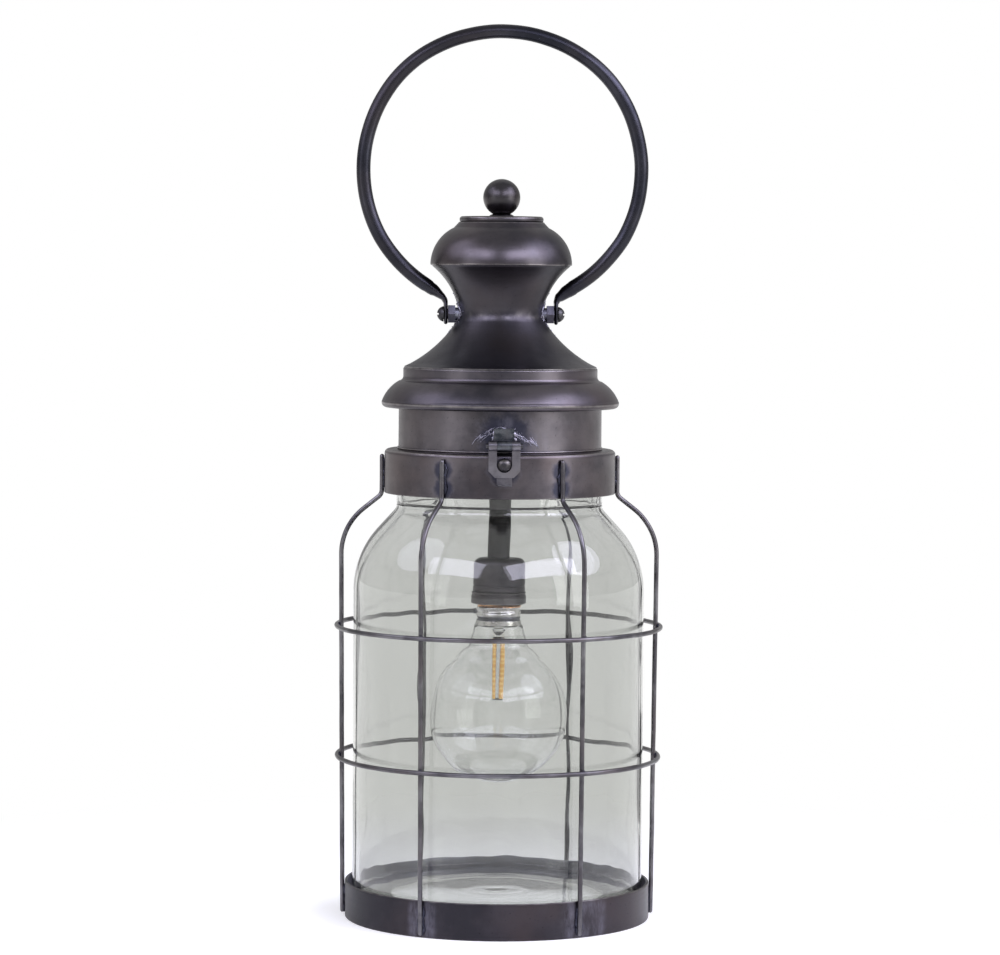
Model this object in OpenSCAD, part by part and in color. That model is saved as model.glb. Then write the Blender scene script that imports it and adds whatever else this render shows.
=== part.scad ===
// Lantern table lamp: a wire cage round a glass jar, with a lift-off hood that carries the bulb.
// The origin is at the centre of the base band's lower edge. +Z is up and -Y is the front.

/* [Base] */
// Outer radius of the base band
base_r = 88.3; // [84:0.1:110]
// Height of the base band
base_h = 21; // [14:0.5:40]
// Sheet thickness of the base band
base_t = 1.5; // [0.8:0.1:2.5]
// Height of the bottom ring's underside above the table
ring_z = 2.6; // [2.6:0.1:6]
// Thickness of the bottom ring
ring_t = 1.5; // [1:0.1:3]
// Radius of the opening in the bottom ring
ring_hole_r = 62; // [40:0.5:68]

/* [Jar] */
// Radial gap between the jar and the base band
jar_gap = 2.7; // [1.5:0.1:6]
// Thickness of the jar's wall
glass_t = 3; // [2:0.1:4]
// Thickness of the jar's bottom
glass_bottom_t = 11.5; // [10:0.1:14]
// Radius of the jar's heel, outside
heel_r = 14; // [10:0.5:20]
// Radius of the jar's heel, inside
heel_in_r = 3; // [3:0.5:12]
// Radius of the jar's round shoulder
shoulder_r = 52.8; // [30:0.1:60]
// Angle that the round shoulder turns through before it runs straight to the neck
shoulder_turn = 42.5; // [30:0.5:50]
// Radius of the hollow curve between shoulder and neck
neck_fillet_r = 5; // [2:0.5:8]
// Radial gap between the jar's neck and the neck band
neck_gap = 6; // [5:0.1:9]
// How far the glass bead round the jar's mouth stands out
lip_out = 3; // [1.5:0.1:4]

/* [Cage] */
// Diameter of the cage wire
wire_d = 2.7; // [2:0.1:4]
// Turn of the cage against the hasps
cage_turn = -0.7; // [-3:0.1:6]
// How far the uprights swell out beyond the base
wire_swell = 1.65; // [0:0.05:4]
// Radius of the large bend at the shoulder
wire_bend_r = 33.6; // [15:0.1:40]
// Radius of the small bend below the neck band
wire_nip_r = 5; // [3:0.5:9]
// Slope of the wire over the shoulder, from upright
wire_slope = 51.6; // [40:0.1:60]
// Height of the lower hoop
hoop_low_z = 93.7; // [60:0.1:120]
// Height of the upper hoop
hoop_high_z = 169.2; // [140:0.1:195]

/* [Neck band] */
// Outer radius of the neck band
band_r = 66.7; // [64:0.1:72]
// Height of the neck band's lower edge above the table
band_z = 246.3; // [235:0.1:300]
// Height of the neck band
band_h = 25.3; // [20:0.1:35]
// Radius of the band's rounded top edge
band_round = 2.5; // [1.5:0.1:4]
// Thickness of the sealing ring between the jar and the shelf
seal_t = 1.5; // [1:0.1:3]

/* [Hood] */
// Sheet thickness of the hood
sheet_t = 1.2; // [0.8:0.1:1.6]
// How far the collar stands in from the neck band
collar_in = 8; // [6.5:0.1:10]
// Height of the collar
collar_h = 24.8; // [22:0.1:35]
// How far the collar's lower step reaches down into the jar's mouth
spigot_h = 7; // [4:0.5:9]
// How far the eave reaches out beyond the collar
eave_out = 9.9; // [7:0.1:14]
// Height of the eave
eave_h = 22.2; // [19:0.1:30]
// Radius of the eave's rolled edge
curl_r = 2.8; // [2.2:0.1:4]
// How far the eave's upper step stands in from the collar
step_in = 2.6; // [1:0.1:5]
// Height of the waisted hood
waist_h = 59; // [50:0.5:75]
// Smallest radius of the waist
waist_r = 24.1; // [20:0.1:28]
// Radius of the crown's sharp lower edge
crown_r = 40.9; // [36:0.1:48]
// Height of the crown
crown_h = 25; // [20:0.5:35]
// Radius of the top disc
disc_r = 24.2; // [20:0.1:28]
// Thickness of the top disc
disc_t = 3.2; // [2:0.1:5]
// Radius of the ball on top
ball_r = 10.7; // [8:0.1:14]

/* [Bail] */
// Diameter of the bail's rod
bail_d = 8; // [5:0.1:9]
// Radius of the bail's ring to the middle of the rod
bail_r = 79.75; // [74:0.05:95]
// Height of the bend's centre above the pivots
bend_up = 3.12; // [2.5:0.01:12]
// Angle below level at which the ring ends
bail_end = 58; // [50:0.5:62]
// Radius of the bend above each eye
bail_bend_r = 10; // [6:0.5:14]
// Thickness of the flattened eye
eye_t = 2.5; // [2:0.1:4]
// Radius of the eye
eye_r = 6; // [5:0.1:8]
// Height of the pivots above the waist's foot
pivot_up = 30.9; // [29:0.1:34]
// Diameter of the pivot screws
pivot_d = 6; // [5:0.5:7]
// Width across the flats of the pivot nuts
nut_af = 10; // [9:0.5:13]
// Thickness of the pivot nuts
nut_t = 4; // [3:0.5:6]

/* [Hasps] */
// Width of the hasp plate
hasp_w = 17.9; // [14:0.1:24]
// Thickness of the hasp plate
hasp_t = 2; // [1.2:0.1:3]
// Width of the slot in the hasp
slot_w = 8.6; // [6.5:0.1:10]
// Gap between the hasp and the neck band
hasp_gap = 0.4; // [0.3:0.05:1.5]
// Height of the hasp's pin above the seam between band and collar
pin_up = 4.9; // [4:0.1:7]
// Diameter of the hasp's pin
pin_d = 3; // [2:0.1:3.4]
// Distance of the catch stud below the hasp's pin
stud_drop = 10.7; // [9.6:0.1:14]

/* [Lampholder] */
// Outer radius of the stem tube
stem_r = 6.95; // [6:0.05:9]
// Length of the stem tube
stem_l = 67.4; // [50:0.1:90]
// Outer radius of the holder's shell
shell_r = 15.25; // [14.9:0.05:18]
// Height of the holder's shell
shell_h = 19.6; // [18:0.1:26]
// Height of the holder's ring
holder_ring_h = 7; // [5:0.1:10]
// Radius of the holder's threaded opening
thread_r = 13.6; // [13.5:0.05:13.8]
// Radius of the threaded rod inside the stem
nipple_r = 5; // [4:0.5:5.5]

/* [Bulb] */
// Radius of the bulb's globe
globe_r = 40; // [30:0.5:48]
// Length of the bulb from the globe's centre to the cap's edge
bulb_neck_l = 52; // [46:0.5:70]
// Wall thickness of the bulb's glass
bulb_t = 0.8; // [0.5:0.1:1.2]
// Length of the bulb's cap that shows below the holder
cap_shows = 12; // [8:0.5:14]
// Length of the cap's threaded shell
cap_l = 18; // [16:0.5:20]
// Length of a light filament
filament_l = 34.5; // [20:0.5:38]

/* [Wiring] */
// Radius of the lead-in hole in the grommet
inlet_r = 3.3; // [2.5:0.1:4]
// Angle of the grommet from the rear of the collar
inlet_turn = 35; // [15:1:60]
// Radius of an inner lead
lead_r = 0.9; // [0.6:0.1:1.1]

/* [Hidden] */

$fn = 96;
eps = 0.01;          // overlap that keeps a cut clean
weld = 0.04;         // how far a joint between two lengths of one rod stands out
fit = 0.05;          // gap at a brazed, pressed or running seat
loose = 0.3;         // gap between curved faces of separate pieces
wire_count = 6;      // upright wires, as in the list of nodes
cap_pitch = 3.629;   // pitch of an E27 thread
screw_r = 1.5;       // M3 screws of the bottom ring
screw_head_h = 2;
screw_head_r = 2.75;
lug_w = 6;
lug_h = 4;
lug_turn = 6.5;

// Heights of the stack, from the table up
jar_z = ring_z + ring_t;
seam_z = band_z + band_h;
jar_top = seam_z - sheet_t - seal_t;
collar_top = seam_z + collar_h;
eave_top = collar_top + eave_h;
crown_z = eave_top + waist_h;
crown_top = crown_z + crown_h;
disc_top = crown_top + disc_t;
pivot_z = eave_top + pivot_up;

// Radii that follow from the cage and its bands
base_in = base_r - base_t;
jar_r = base_in - jar_gap;
jar_neck_r = band_r - sheet_t - neck_gap;
collar_r = band_r - collar_in;
spigot_r = collar_r - 2 * sheet_t - 0.2;
shelf_hole_r = spigot_r + loose;
eave_r = collar_r + eave_out;
step_r = collar_r - step_in;
foot_r = step_r - 0.5;

function arc(c, r, a0, a1, n = 8) =
    [for (i = [0:n]) let (a = a0 + (a1 - a0) * i / n) c + r * [cos(a), sin(a)]];

// Arc from p to q that swells by sag to the left of its way, moved to the left by grow
function bow(p, q, sag, grow = 0, n = 10) =
    let (way = q - p,
        side = [-way[1], way[0]] / norm(way),
        r = (pow(norm(way) / 2, 2) + sag * sag) / (2 * abs(sag)),
        c = (p + q) / 2 + side * (sag - sign(sag) * r),
        a0 = atan2(p[1] - c[1], p[0] - c[0]),
        turn = 2 * asin(norm(way) / 2 / r) * sign(sag))
    arc(c, r + sign(sag) * grow, a0, a0 - turn, n);

function flip(points) = [for (i = [len(points) - 1:-1:0]) points[i]];

module lathe(points) { rotate_extrude() polygon(points); }

// Round ring of a rod, lying level
module round_ring(r, d) { rotate_extrude() translate([r, 0]) circle(d / 2, $fn = 32); }

// Part of a ring wall, centred on the direction at
module ring_sector(r0, r1, z0, z1, turn, at) {
    rotate([0, 0, at - turn / 2]) rotate_extrude(angle = turn)
        translate([r0, z0]) square([r1 - r0, z1 - z0]);
}

module tube(r_out, r_in, h) {
    difference() {
        cylinder(r = r_out, h = h);
        translate([0, 0, -eps]) cylinder(r = r_in, h = h + 2 * eps);
    }
}

module hex_nut(af, t, bore_r) {
    difference() {
        cylinder(r = af / 2 / cos(30), h = t, $fn = 6);
        translate([0, 0, -eps]) cylinder(r = bore_r, h = t + 2 * eps);
    }
}

// ---- Base ----

module base_band() {
    color("#3a363a") tube(base_r, base_in, base_h);
}

lug_r = base_in - fit - lug_w;
lug_mid_r = lug_r + lug_w / 2;

module at_lugs() {
    for (at = [-90, 30, 150]) rotate([0, 0, at]) children();
}

module bottom_ring() {
    color("#3c383c") difference() {
        translate([0, 0, ring_z]) tube(base_in - loose, ring_hole_r, ring_t);
        at_lugs() translate([lug_mid_r, 0, 0]) cylinder(r = screw_r + 0.2, h = jar_z + 1);
    }
}

module base_lugs() {
    color("#3a363a") at_lugs() difference() {
        ring_sector(lug_r, base_in - fit, jar_z, jar_z + lug_h, lug_turn, 0);
        translate([lug_mid_r, 0, 0]) cylinder(r = screw_r + fit, h = jar_z + lug_h + 1);
    }
}

module bottom_screws() {
    color("#77706c") at_lugs() translate([lug_mid_r, 0, 0]) {
        difference() {
            translate([0, 0, ring_z - screw_head_h]) cylinder(r = screw_head_r, h = screw_head_h);
            translate([-0.5, -screw_head_r, ring_z - screw_head_h - eps])
                cube([1, 2 * screw_head_r, 1]);
        }
        translate([0, 0, ring_z - eps]) cylinder(r = screw_r, h = ring_t + lug_h);
    }
}

// ---- Cage ----

wire_r = wire_d / 2;
wire_foot_z = 1.5;
wire_foot_r = base_r + fit + wire_r;
wire_belly_r = wire_foot_r + wire_swell;
wire_head_r = band_r + fit + wire_r;
wire_head_z = seam_z - 1.8 - wire_r;
wire_nip_z = band_z + 1.2;
// The sloping wire runs from the large bend to the small one
slope_top = [wire_head_r + wire_nip_r * (1 - cos(wire_slope)),
    wire_nip_z - wire_nip_r * sin(wire_slope)];
slope_foot_r = wire_belly_r - wire_bend_r * (1 - cos(wire_slope));
slope_foot = [slope_foot_r, slope_top[1] - (slope_foot_r - slope_top[0]) / tan(wire_slope)];
wire_bend_z = slope_foot[1] - wire_bend_r * sin(wire_slope);
wire_lean = atan(wire_swell / (wire_bend_z - wire_foot_z));

function wire_mid_r(z) = wire_foot_r + (z - wire_foot_z) * tan(wire_lean);
function wire_at(i) = -60 + cage_turn + i * 360 / wire_count;

// Straight rod between two points of the plane through the axis
module rod(p, q, d) {
    way = q - p;
    translate([p[0], 0, p[1]]) rotate([0, atan2(way[0], way[1]), 0]) cylinder(d = d, h = norm(way));
}

// Ball a hair thicker than the rod, which joins two lengths of it at p
module rod_joint(p, d) {
    translate([p[0], 0, p[1]]) sphere(r = d / 2 + weld, $fn = 32);
}

// Bent rod in that plane, round the point c from a0 to a1
module bend(c, r, a0, a1, d) {
    translate([c[0], 0, c[1]]) rotate([90, 0, 0]) rotate([0, 0, min(a0, a1)])
        rotate_extrude(angle = abs(a1 - a0)) translate([r, 0]) circle(d / 2, $fn = 32);
}

braze_turn_base = 4;
braze_turn_band = 4.6;
braze_t = 0.9;

module upright_wire(i) {
    belly = [wire_belly_r - wire_bend_r, wire_bend_z];
    lean_start = belly + wire_bend_r * [cos(wire_lean), -sin(wire_lean)];
    lean_end = lean_start
        - (lean_start[1] - wire_foot_z) / cos(wire_lean) * [sin(wire_lean), cos(wire_lean)];
    color("#46454b") rotate([0, 0, wire_at(i)]) {
        rod(lean_end, lean_start, wire_d);
        bend(belly, wire_bend_r, -wire_lean, wire_slope, wire_d);
        rod(slope_foot, slope_top, wire_d);
        bend([wire_head_r + wire_nip_r, wire_nip_z], wire_nip_r, 180, 180 + wire_slope, wire_d);
        rod([wire_head_r, wire_nip_z], [wire_head_r, wire_head_z], wire_d);
        for (p = [lean_start, slope_foot, slope_top, [wire_head_r, wire_nip_z],
                [wire_head_r, wire_head_z]]) rod_joint(p, wire_d);
        ring_sector(base_r + fit, base_r + fit + braze_t, 3, base_h - 3, braze_turn_base, 0);
        ring_sector(band_r + fit, band_r + fit + braze_t, band_z + 3.5, seam_z - 6,
            braze_turn_band, 0);
    }
}

module hoop(z) {
    color("#46454b") translate([0, 0, z]) round_ring(wire_mid_r(z) + wire_d + fit, wire_d);
}

module hoop_lower() { hoop(hoop_low_z); }
module hoop_upper() { hoop(hoop_high_z); }

// ---- Neck band, with its shelf turned in under the collar ----

module neck_band() {
    round_c = [band_r - band_round, seam_z - band_round];
    color("#4a4346") lathe(concat(
        [[band_r, band_z]],
        arc(round_c, band_round, 0, 90, 6),
        [[shelf_hole_r, seam_z], [shelf_hole_r, seam_z - sheet_t]],
        arc(round_c, band_round - sheet_t, 90, 0, 6),
        [[band_r - sheet_t, band_z]]));
}

module rim_seal() {
    color("#2b2a2a") translate([0, 0, jar_top])
        tube(jar_neck_r + lip_out, jar_neck_r - glass_t + 2, seal_t);
}

// ---- Jar: one piece of glass, kept as four nodes that meet face to face ----

lip_h = 9;
mouth_flare = 1.2;
lip_r = jar_neck_r + lip_out;
heel_c = [jar_r - heel_r, jar_z + heel_r];
jar_floor_z = jar_z + glass_bottom_t;
heel_in_c = [jar_r - glass_t - heel_in_r, jar_floor_z + heel_in_r];
// Straight wall between the heel and the next node's lower face
above_heel = 1;
base_top_z = max(heel_c[1], heel_in_c[1]) + above_heel;
fillet_turn = 90 - shoulder_turn;
neck_z = band_z - 7;
neck_fillet_c = [jar_neck_r + neck_fillet_r, neck_z];
line_top = neck_fillet_c - neck_fillet_r * [cos(fillet_turn), sin(fillet_turn)];
line_foot_r = jar_r - shoulder_r * (1 - cos(shoulder_turn));
line_foot_z = line_top[1] - (line_foot_r - line_top[0]) / tan(shoulder_turn);
shoulder_c = [jar_r - shoulder_r, line_foot_z - shoulder_r * sin(shoulder_turn)];

module glass() { color([0.80, 0.86, 0.84, 0.35]) children(); }

module jar_base() {
    glass() lathe(concat(
        [[0, jar_z]],
        arc(heel_c, heel_r, -90, 0, 10),
        [[jar_r, base_top_z], [jar_r - glass_t, base_top_z]],
        arc(heel_in_c, heel_in_r, 0, -90, 10),
        [[0, jar_floor_z]]));
}

module jar_wall() {
    glass() translate([0, 0, base_top_z])
        tube(jar_r, jar_r - glass_t, shoulder_c[1] - base_top_z);
}

module jar_shoulder() {
    glass() lathe(concat(
        arc(shoulder_c, shoulder_r, 0, shoulder_turn, 12),
        arc(neck_fillet_c, neck_fillet_r, 180 + fillet_turn, 180, 5),
        arc(neck_fillet_c, neck_fillet_r + glass_t, 180, 180 + fillet_turn, 5),
        arc(shoulder_c, shoulder_r - glass_t, shoulder_turn, 0, 12)));
}

module jar_neck() {
    glass() lathe(concat(
        [[jar_neck_r, neck_z], [jar_neck_r, jar_top - lip_h]],
        arc([lip_r - 1.5, jar_top - lip_h + 2.5], 1.5, -60, 0, 3),
        arc([lip_r - 1.5, jar_top - 1.5], 1.5, 0, 90, 4),
        [[jar_neck_r - glass_t + mouth_flare, jar_top],
            [jar_neck_r - glass_t, jar_top - lip_h - 1], [jar_neck_r - glass_t, neck_z]]));
}

// ---- Hasps and catch studs ----

pin_z = seam_z + pin_up;
pin_r = pin_d / 2;
plate_in = band_r + hasp_gap;
plate_out = plate_in + hasp_t;
pin_y = plate_in + hasp_t / 2 + 0.5;
eye_out_r = pin_r + 1.4;
lug_side_gap = 0.2;
bracket_w = slot_w - 2 * lug_side_gap;
stud_z = pin_z - stud_drop;
stud_head_r = slot_w / 2 - 0.4;
foot_turn = 11;

module front_or_rear(rear) {
    rotate([0, 0, rear ? 180 : 0]) children();
}

// Dome-headed stud on the neck band, which the slot drops over
module catch_stud(rear) {
    color("#5a5757") front_or_rear(rear) difference() {
        translate([0, -band_r + 1, stud_z]) rotate([90, 0, 0]) {
            cylinder(r = stud_head_r - 1.2, h = hasp_gap + 2);
            translate([0, 0, hasp_gap + 2 - eps]) rotate_extrude() intersection() {
                translate([0, 0.3]) circle(stud_head_r);
                square([stud_head_r, stud_head_r * 0.9]);
            }
        }
        translate([0, 0, band_z]) cylinder(r = band_r + fit, h = band_h);
    }
}

// Lug brazed to the collar, which holds the hasp's pin
module hasp_bracket(rear) {
    color("#3e3f48") front_or_rear(rear) difference() {
        union() {
            translate([-bracket_w / 2, -pin_y, pin_z - eye_out_r])
                cube([bracket_w, pin_y - collar_r + 1, 2 * eye_out_r]);
            translate([-bracket_w / 2, -pin_y, pin_z]) rotate([0, 90, 0])
                cylinder(r = eye_out_r, h = bracket_w);
            ring_sector(collar_r + fit, collar_r + fit + 1.4, pin_z - 1.5, pin_z + 9.5,
                foot_turn, -90);
        }
        translate([0, 0, seam_z]) cylinder(r = collar_r + fit, h = collar_h);
        translate([-hasp_w, -pin_y, pin_z]) rotate([0, 90, 0])
            cylinder(r = pin_r + fit, h = 2 * hasp_w);
    }
}

module hasp_pin(rear) {
    pin_l = hasp_w + 3;
    color("#57545a") front_or_rear(rear) translate([-pin_l / 2, -pin_y, pin_z])
        rotate([0, 90, 0]) cylinder(r = pin_r, h = pin_l);
}

hasp_foot_drop = stud_drop + slot_w / 2 + 2.9;
lip_w = slot_w;
lip_l = 4.6;
lip_turn = 38;

// Slotted plate with two rolled eyes and a lip bent out at the bottom for a finger
module hasp(rear) {
    leg_w = (hasp_w - slot_w) / 2;
    corner = 3.7;
    color("#4a484e") front_or_rear(rear) difference() {
        union() {
            translate([0, -plate_in, pin_z]) rotate([90, 0, 0]) linear_extrude(hasp_t)
                difference() {
                    polygon([[-hasp_w / 2, 0], [-hasp_w / 2, corner - hasp_foot_drop],
                        [-hasp_w / 2 + corner, -hasp_foot_drop],
                        [hasp_w / 2 - corner, -hasp_foot_drop],
                        [hasp_w / 2, corner - hasp_foot_drop], [hasp_w / 2, 0]]);
                    translate([0, -stud_drop]) circle(slot_w / 2);
                    translate([-slot_w / 2, -stud_drop]) square([slot_w, stud_drop + 1]);
                }
            for (x = [-hasp_w / 2, slot_w / 2]) translate([x, -pin_y, pin_z])
                rotate([0, 90, 0]) cylinder(r = eye_out_r, h = leg_w);
            translate([-lip_w / 2, -plate_in - hasp_t, pin_z - hasp_foot_drop])
                rotate([-lip_turn, 0, 0]) translate([0, 0, -lip_l])
                cube([lip_w, hasp_t - 0.3, lip_l + 1.2]);
        }
        translate([-hasp_w, -pin_y, pin_z]) rotate([0, 90, 0])
            cylinder(r = pin_r + fit, h = 2 * hasp_w);
    }
}

// ---- Hood, spun from sheet ----

module collar() {
    bead_r = collar_r + 0.7;
    color("#5a5254") difference() {
        lathe(concat(
            [[spigot_r, seam_z - spigot_h], [spigot_r, seam_z], [bead_r - 0.4, seam_z]],
            arc([bead_r - 0.7, seam_z + 0.75], 0.7, -60, 60, 4),
            [[collar_r, seam_z + 1.5], [collar_r, collar_top],
                [collar_r - sheet_t, collar_top], [collar_r - sheet_t, seam_z + sheet_t],
                [spigot_r - sheet_t, seam_z + sheet_t], [spigot_r - sheet_t, seam_z - spigot_h]]));
        grommet_axis() cylinder(r = inlet_r + 1.3 + fit, h = 20, center = true);
    }
}

curl_c = [eave_r - curl_r, collar_top + curl_r - 0.8];
curl_turn = 22;
curl_top = curl_c + curl_r * [cos(curl_turn), sin(curl_turn)];
cove_top = [step_r, eave_top - 5];
cove_foot = cove_top + [2.5, -2.7];

module eave() {
    color("#5a5356") lathe(concat(
        [[foot_r - 5, eave_top], [step_r - 0.8, eave_top]],
        arc([step_r - 0.8, eave_top - 0.8], 0.8, 90, 0, 4),
        bow(cove_top, cove_foot, -0.7, 0, 5),
        bow(cove_foot, curl_top, 1.3, 0, 8),
        arc(curl_c, curl_r, curl_turn, -90, 8),
        [[curl_c[0] - 1.2, collar_top], [collar_r - sheet_t, collar_top],
            [collar_r - sheet_t, collar_top + sheet_t], [curl_c[0] - 0.6, collar_top + sheet_t]],
        arc(curl_c, curl_r - sheet_t, -30, curl_turn, 5),
        flip(bow(cove_foot, curl_top, 1.3, -sheet_t, 8)),
        flip(bow(cove_top, cove_foot, -0.7, -sheet_t, 5)),
        [[step_r - sheet_t, eave_top - sheet_t], [foot_r - 5, eave_top - sheet_t]]));
}

flare_foot = [foot_r - 1, eave_top + 1];
flare_top = [waist_r + 1.3, pivot_z - 3.9];
flute_foot = [waist_r + 0.8, pivot_z + 5.5];
flute_top = [crown_r - 1.3, crown_z - 0.6];

function waist_line(grow) = concat(
    bow(flare_foot, flare_top, 2.6, grow, 14),
    bow(flare_top, flute_foot, 1, grow, 6),
    bow(flute_foot, flute_top, 1.95, grow, 10));

module waist() {
    // The way runs upwards, so the inside of the sheet lies to its left
    inner_line = [for (p = waist_line(sheet_t)) if (p[1] > eave_top + sheet_t && p[1] < crown_z) p];
    color("#33313a") lathe(concat(
        [[foot_r - 5, eave_top], [foot_r, eave_top], [foot_r, eave_top + 0.6]],
        waist_line(0),
        [[crown_r - 0.9, crown_z], [crown_r - 3.5, crown_z]],
        flip(inner_line),
        [[foot_r - 5, eave_top + sheet_t]]));
}

crown_foot = [crown_r, crown_z + 1.2];
crown_head = [disc_r + 3.2, crown_top - 3.3];

module crown() {
    color("#3c383e") lathe(concat(
        [[crown_r - 4.4, crown_z], [crown_r - 0.3, crown_z]],
        bow(crown_foot, crown_head, -3.4, 0, 12),
        [[disc_r + 1.2, crown_top - 1.2], [disc_r + 0.2, crown_top],
            [stud_r + loose, crown_top], [stud_r + loose, crown_top - sheet_t],
            [disc_r - 0.4, crown_top - sheet_t]],
        flip(bow(crown_foot, crown_head, -3.4, sheet_t, 12)),
        [[crown_r - 4.4, crown_z + sheet_t]]));
}

stud_r = 3;
stud_l = 19;

module top_disc() {
    color("#4d484c") lathe(concat(
        [[stud_r + loose, crown_top]],
        arc([disc_r - 1, crown_top + 1], 1, -90, 0, 4),
        arc([disc_r - 1.6, disc_top - 1.6], 1.6, 0, 90, 5),
        [[stud_r + loose, disc_top]]));
}

ball_foot_r = 7.2;
ball_z = disc_top + ball_r + 0.2;

module finial_ball() {
    color("#4a474c") difference() {
        union() {
            translate([0, 0, ball_z]) sphere(r = ball_r);
            lathe([[0, disc_top], [ball_foot_r, disc_top], [ball_foot_r - 0.4, disc_top + 0.7],
                [ball_foot_r - 2.2, disc_top + 1.8], [0, disc_top + 3]]);
        }
        translate([0, 0, disc_top - 1]) cylinder(r = stud_r + fit, h = 10);
    }
}

module finial_stud() {
    color("#77706c") translate([0, 0, disc_top + 8.6 - stud_l]) cylinder(r = stud_r, h = stud_l);
}

module finial_nut() {
    color("#77706c") translate([0, 0, crown_top - sheet_t - 4.5]) hex_nut(10, 4.5, stud_r + fit);
}

// ---- Bail and its pivots ----

pivot_r = pivot_d / 2;
nut_x = waist_r + 2.4;
eye_x = nut_x + nut_t + 0.1;
eye_mid = eye_x + eye_t / 2;
head_x = eye_x + eye_t + 0.1;

// Dome-headed screw through the bail's eye into the nut
module pivot_screw(side) {
    head_r = 4.5;
    head_h = 3.7;
    dome_r = (head_r * head_r + head_h * head_h) / (2 * head_h);
    color("#4e4c52") translate([side * head_x, 0, pivot_z]) rotate([0, side * 90, 0]) {
        difference() {
            rotate_extrude() intersection() {
                translate([0, head_h - dome_r]) circle(dome_r);
                square([head_r, head_h + 1]);
            }
            translate([-0.5, -head_r, head_h - 1]) cube([1, 2 * head_r, 2]);
        }
        translate([0, 0, nut_x + 0.4 - head_x]) cylinder(r = pivot_r, h = head_x - nut_x - 0.4 + eps);
    }
}

// Hexagon nut with the braze that joins it to the waist
module pivot_nut(side) {
    braze_r = 3.8;
    color("#3a3940") difference() {
        translate([0, 0, pivot_z]) rotate([0, side * 90, 0]) {
            translate([0, 0, nut_x]) rotate([0, 0, 30])
                cylinder(r = nut_af / 2 / cos(30), h = nut_t, $fn = 6);
            translate([0, 0, waist_r - 1]) cylinder(r = braze_r, h = nut_x - waist_r + 1 + weld);
        }
        rotate([0, 0, 90]) lathe([[0, flare_top[1] - 1], flare_top + [fit, -1], flare_top + [fit, 0],
            [waist_r + 0.1 + fit, (flare_top[1] + flute_foot[1]) / 2],
            flute_foot + [fit, 0], [0, flute_foot[1]]]);
        translate([0, 0, pivot_z]) rotate([0, side * 90, 0])
            translate([0, 0, nut_x]) cylinder(r = pivot_r + fit, h = nut_t + 1);
    }
}

// From each eye the rod bends outwards and runs straight to the ring's end
bend_c = [eye_mid + bail_bend_r, pivot_z + bend_up];
bend_start = bend_c - bail_bend_r * [cos(bail_end), -sin(bail_end)];
ring_end_x = bail_r * cos(bail_end);
ring_end = [ring_end_x, bend_start[1] + (ring_end_x - bend_start[0]) / tan(bail_end)];
bail_ring_z = ring_end[1] + bail_r * sin(bail_end);

module bail() {
    color("#33343c") {
        translate([0, 0, bail_ring_z]) rotate([90, 0, 0]) rotate([0, 0, -bail_end])
            rotate_extrude(angle = 180 + 2 * bail_end) translate([bail_r, 0])
            circle(bail_d / 2, $fn = 32);
        bail_leg();
        mirror([1, 0, 0]) bail_leg();
    }
}

// The rod's end runs on inwards, bends down and is hammered flat to the eye
module bail_leg() {
    flat_z = pivot_z + eye_r + 0.5;
    far = bail_r / 2;          // how far the cutting wedge reaches beyond the rod
    under = far * 0.41;        // rise of the wedge's underside over that reach
    over = far * 1.5;
    rod(bend_start, ring_end, bail_d);
    rod_joint(ring_end, bail_d);
    rod_joint(bend_start, bail_d);
    intersection() {
        bend(bend_c, bail_bend_r, 180 - bail_end, 180, bail_d);
        translate([0, eye_r, 0]) rotate([90, 0, 0]) linear_extrude(2 * eye_r)
            polygon([[eye_x, pivot_z - 1], [eye_x + eye_t, pivot_z - 1], [eye_x + eye_t, flat_z - 2],
                [eye_x + eye_t + far, flat_z - 2 + under], [eye_x + eye_t, flat_z + over],
                [eye_x - far, flat_z + over], [eye_x, flat_z]]);
    }
    difference() {
        translate([eye_x, 0, pivot_z]) rotate([90, 0, 90]) linear_extrude(eye_t) union() {
            circle(eye_r);
            polygon([[-eye_r, 0], [eye_r, 0], [bail_d / 2, bend_c[1] - pivot_z + 4],
                [-bail_d / 2, bend_c[1] - pivot_z + 4]]);
        }
        translate([eye_x - 1, 0, pivot_z]) rotate([0, 90, 0])
            cylinder(r = pivot_r + fit, h = eye_t + 2);
    }
}

// ---- Bridge, stem and wiring inside the hood ----

bar_w = 14;
bar_t = 3;
bar_tab_h = 8;
shell_top = seam_z + 4.4 - stem_l;
bar_z = shell_top + stem_l;
bar_top = bar_z + bar_t;
bar_half = sqrt(pow(collar_r - sheet_t, 2) - pow(bar_w / 2, 2)) - fit;
block_x = 20;
block_size = [10, 12, 12];
lead_y = 1.7;

// Flat bar across the collar that carries the stem; its ends are turned up and brazed
module bridge_bar() {
    color("#55504e") difference() {
        union() {
            translate([-bar_half, -bar_w / 2, bar_z]) cube([2 * bar_half, bar_w, bar_t]);
            for (x = [-bar_half, bar_half - 2])
                translate([x, -bar_w / 2, bar_z]) cube([2, bar_w, bar_t + bar_tab_h]);
        }
        translate([0, 0, bar_z - 1]) cylinder(r = nipple_r + fit, h = bar_t + 2);
    }
}

washer_t = 1.6;
nipple_nut_t = 3;
nipple_low_z = shell_top - 1.4 - nipple_nut_t - 1;
nipple_top_z = bar_top + washer_t + nipple_nut_t + 2;

module stem_nipple() {
    color("#8a8580") translate([0, 0, nipple_low_z])
        tube(nipple_r, nipple_r - 1.4, nipple_top_z - nipple_low_z);
}

module stem_tube() {
    color("#3b3839") translate([0, 0, shell_top]) tube(stem_r, nipple_r + loose, stem_l);
}

module lock_washer() {
    color("#8a8580") translate([0, 0, bar_top]) tube(nipple_r + 3.2, nipple_r + loose, washer_t);
}

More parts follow.
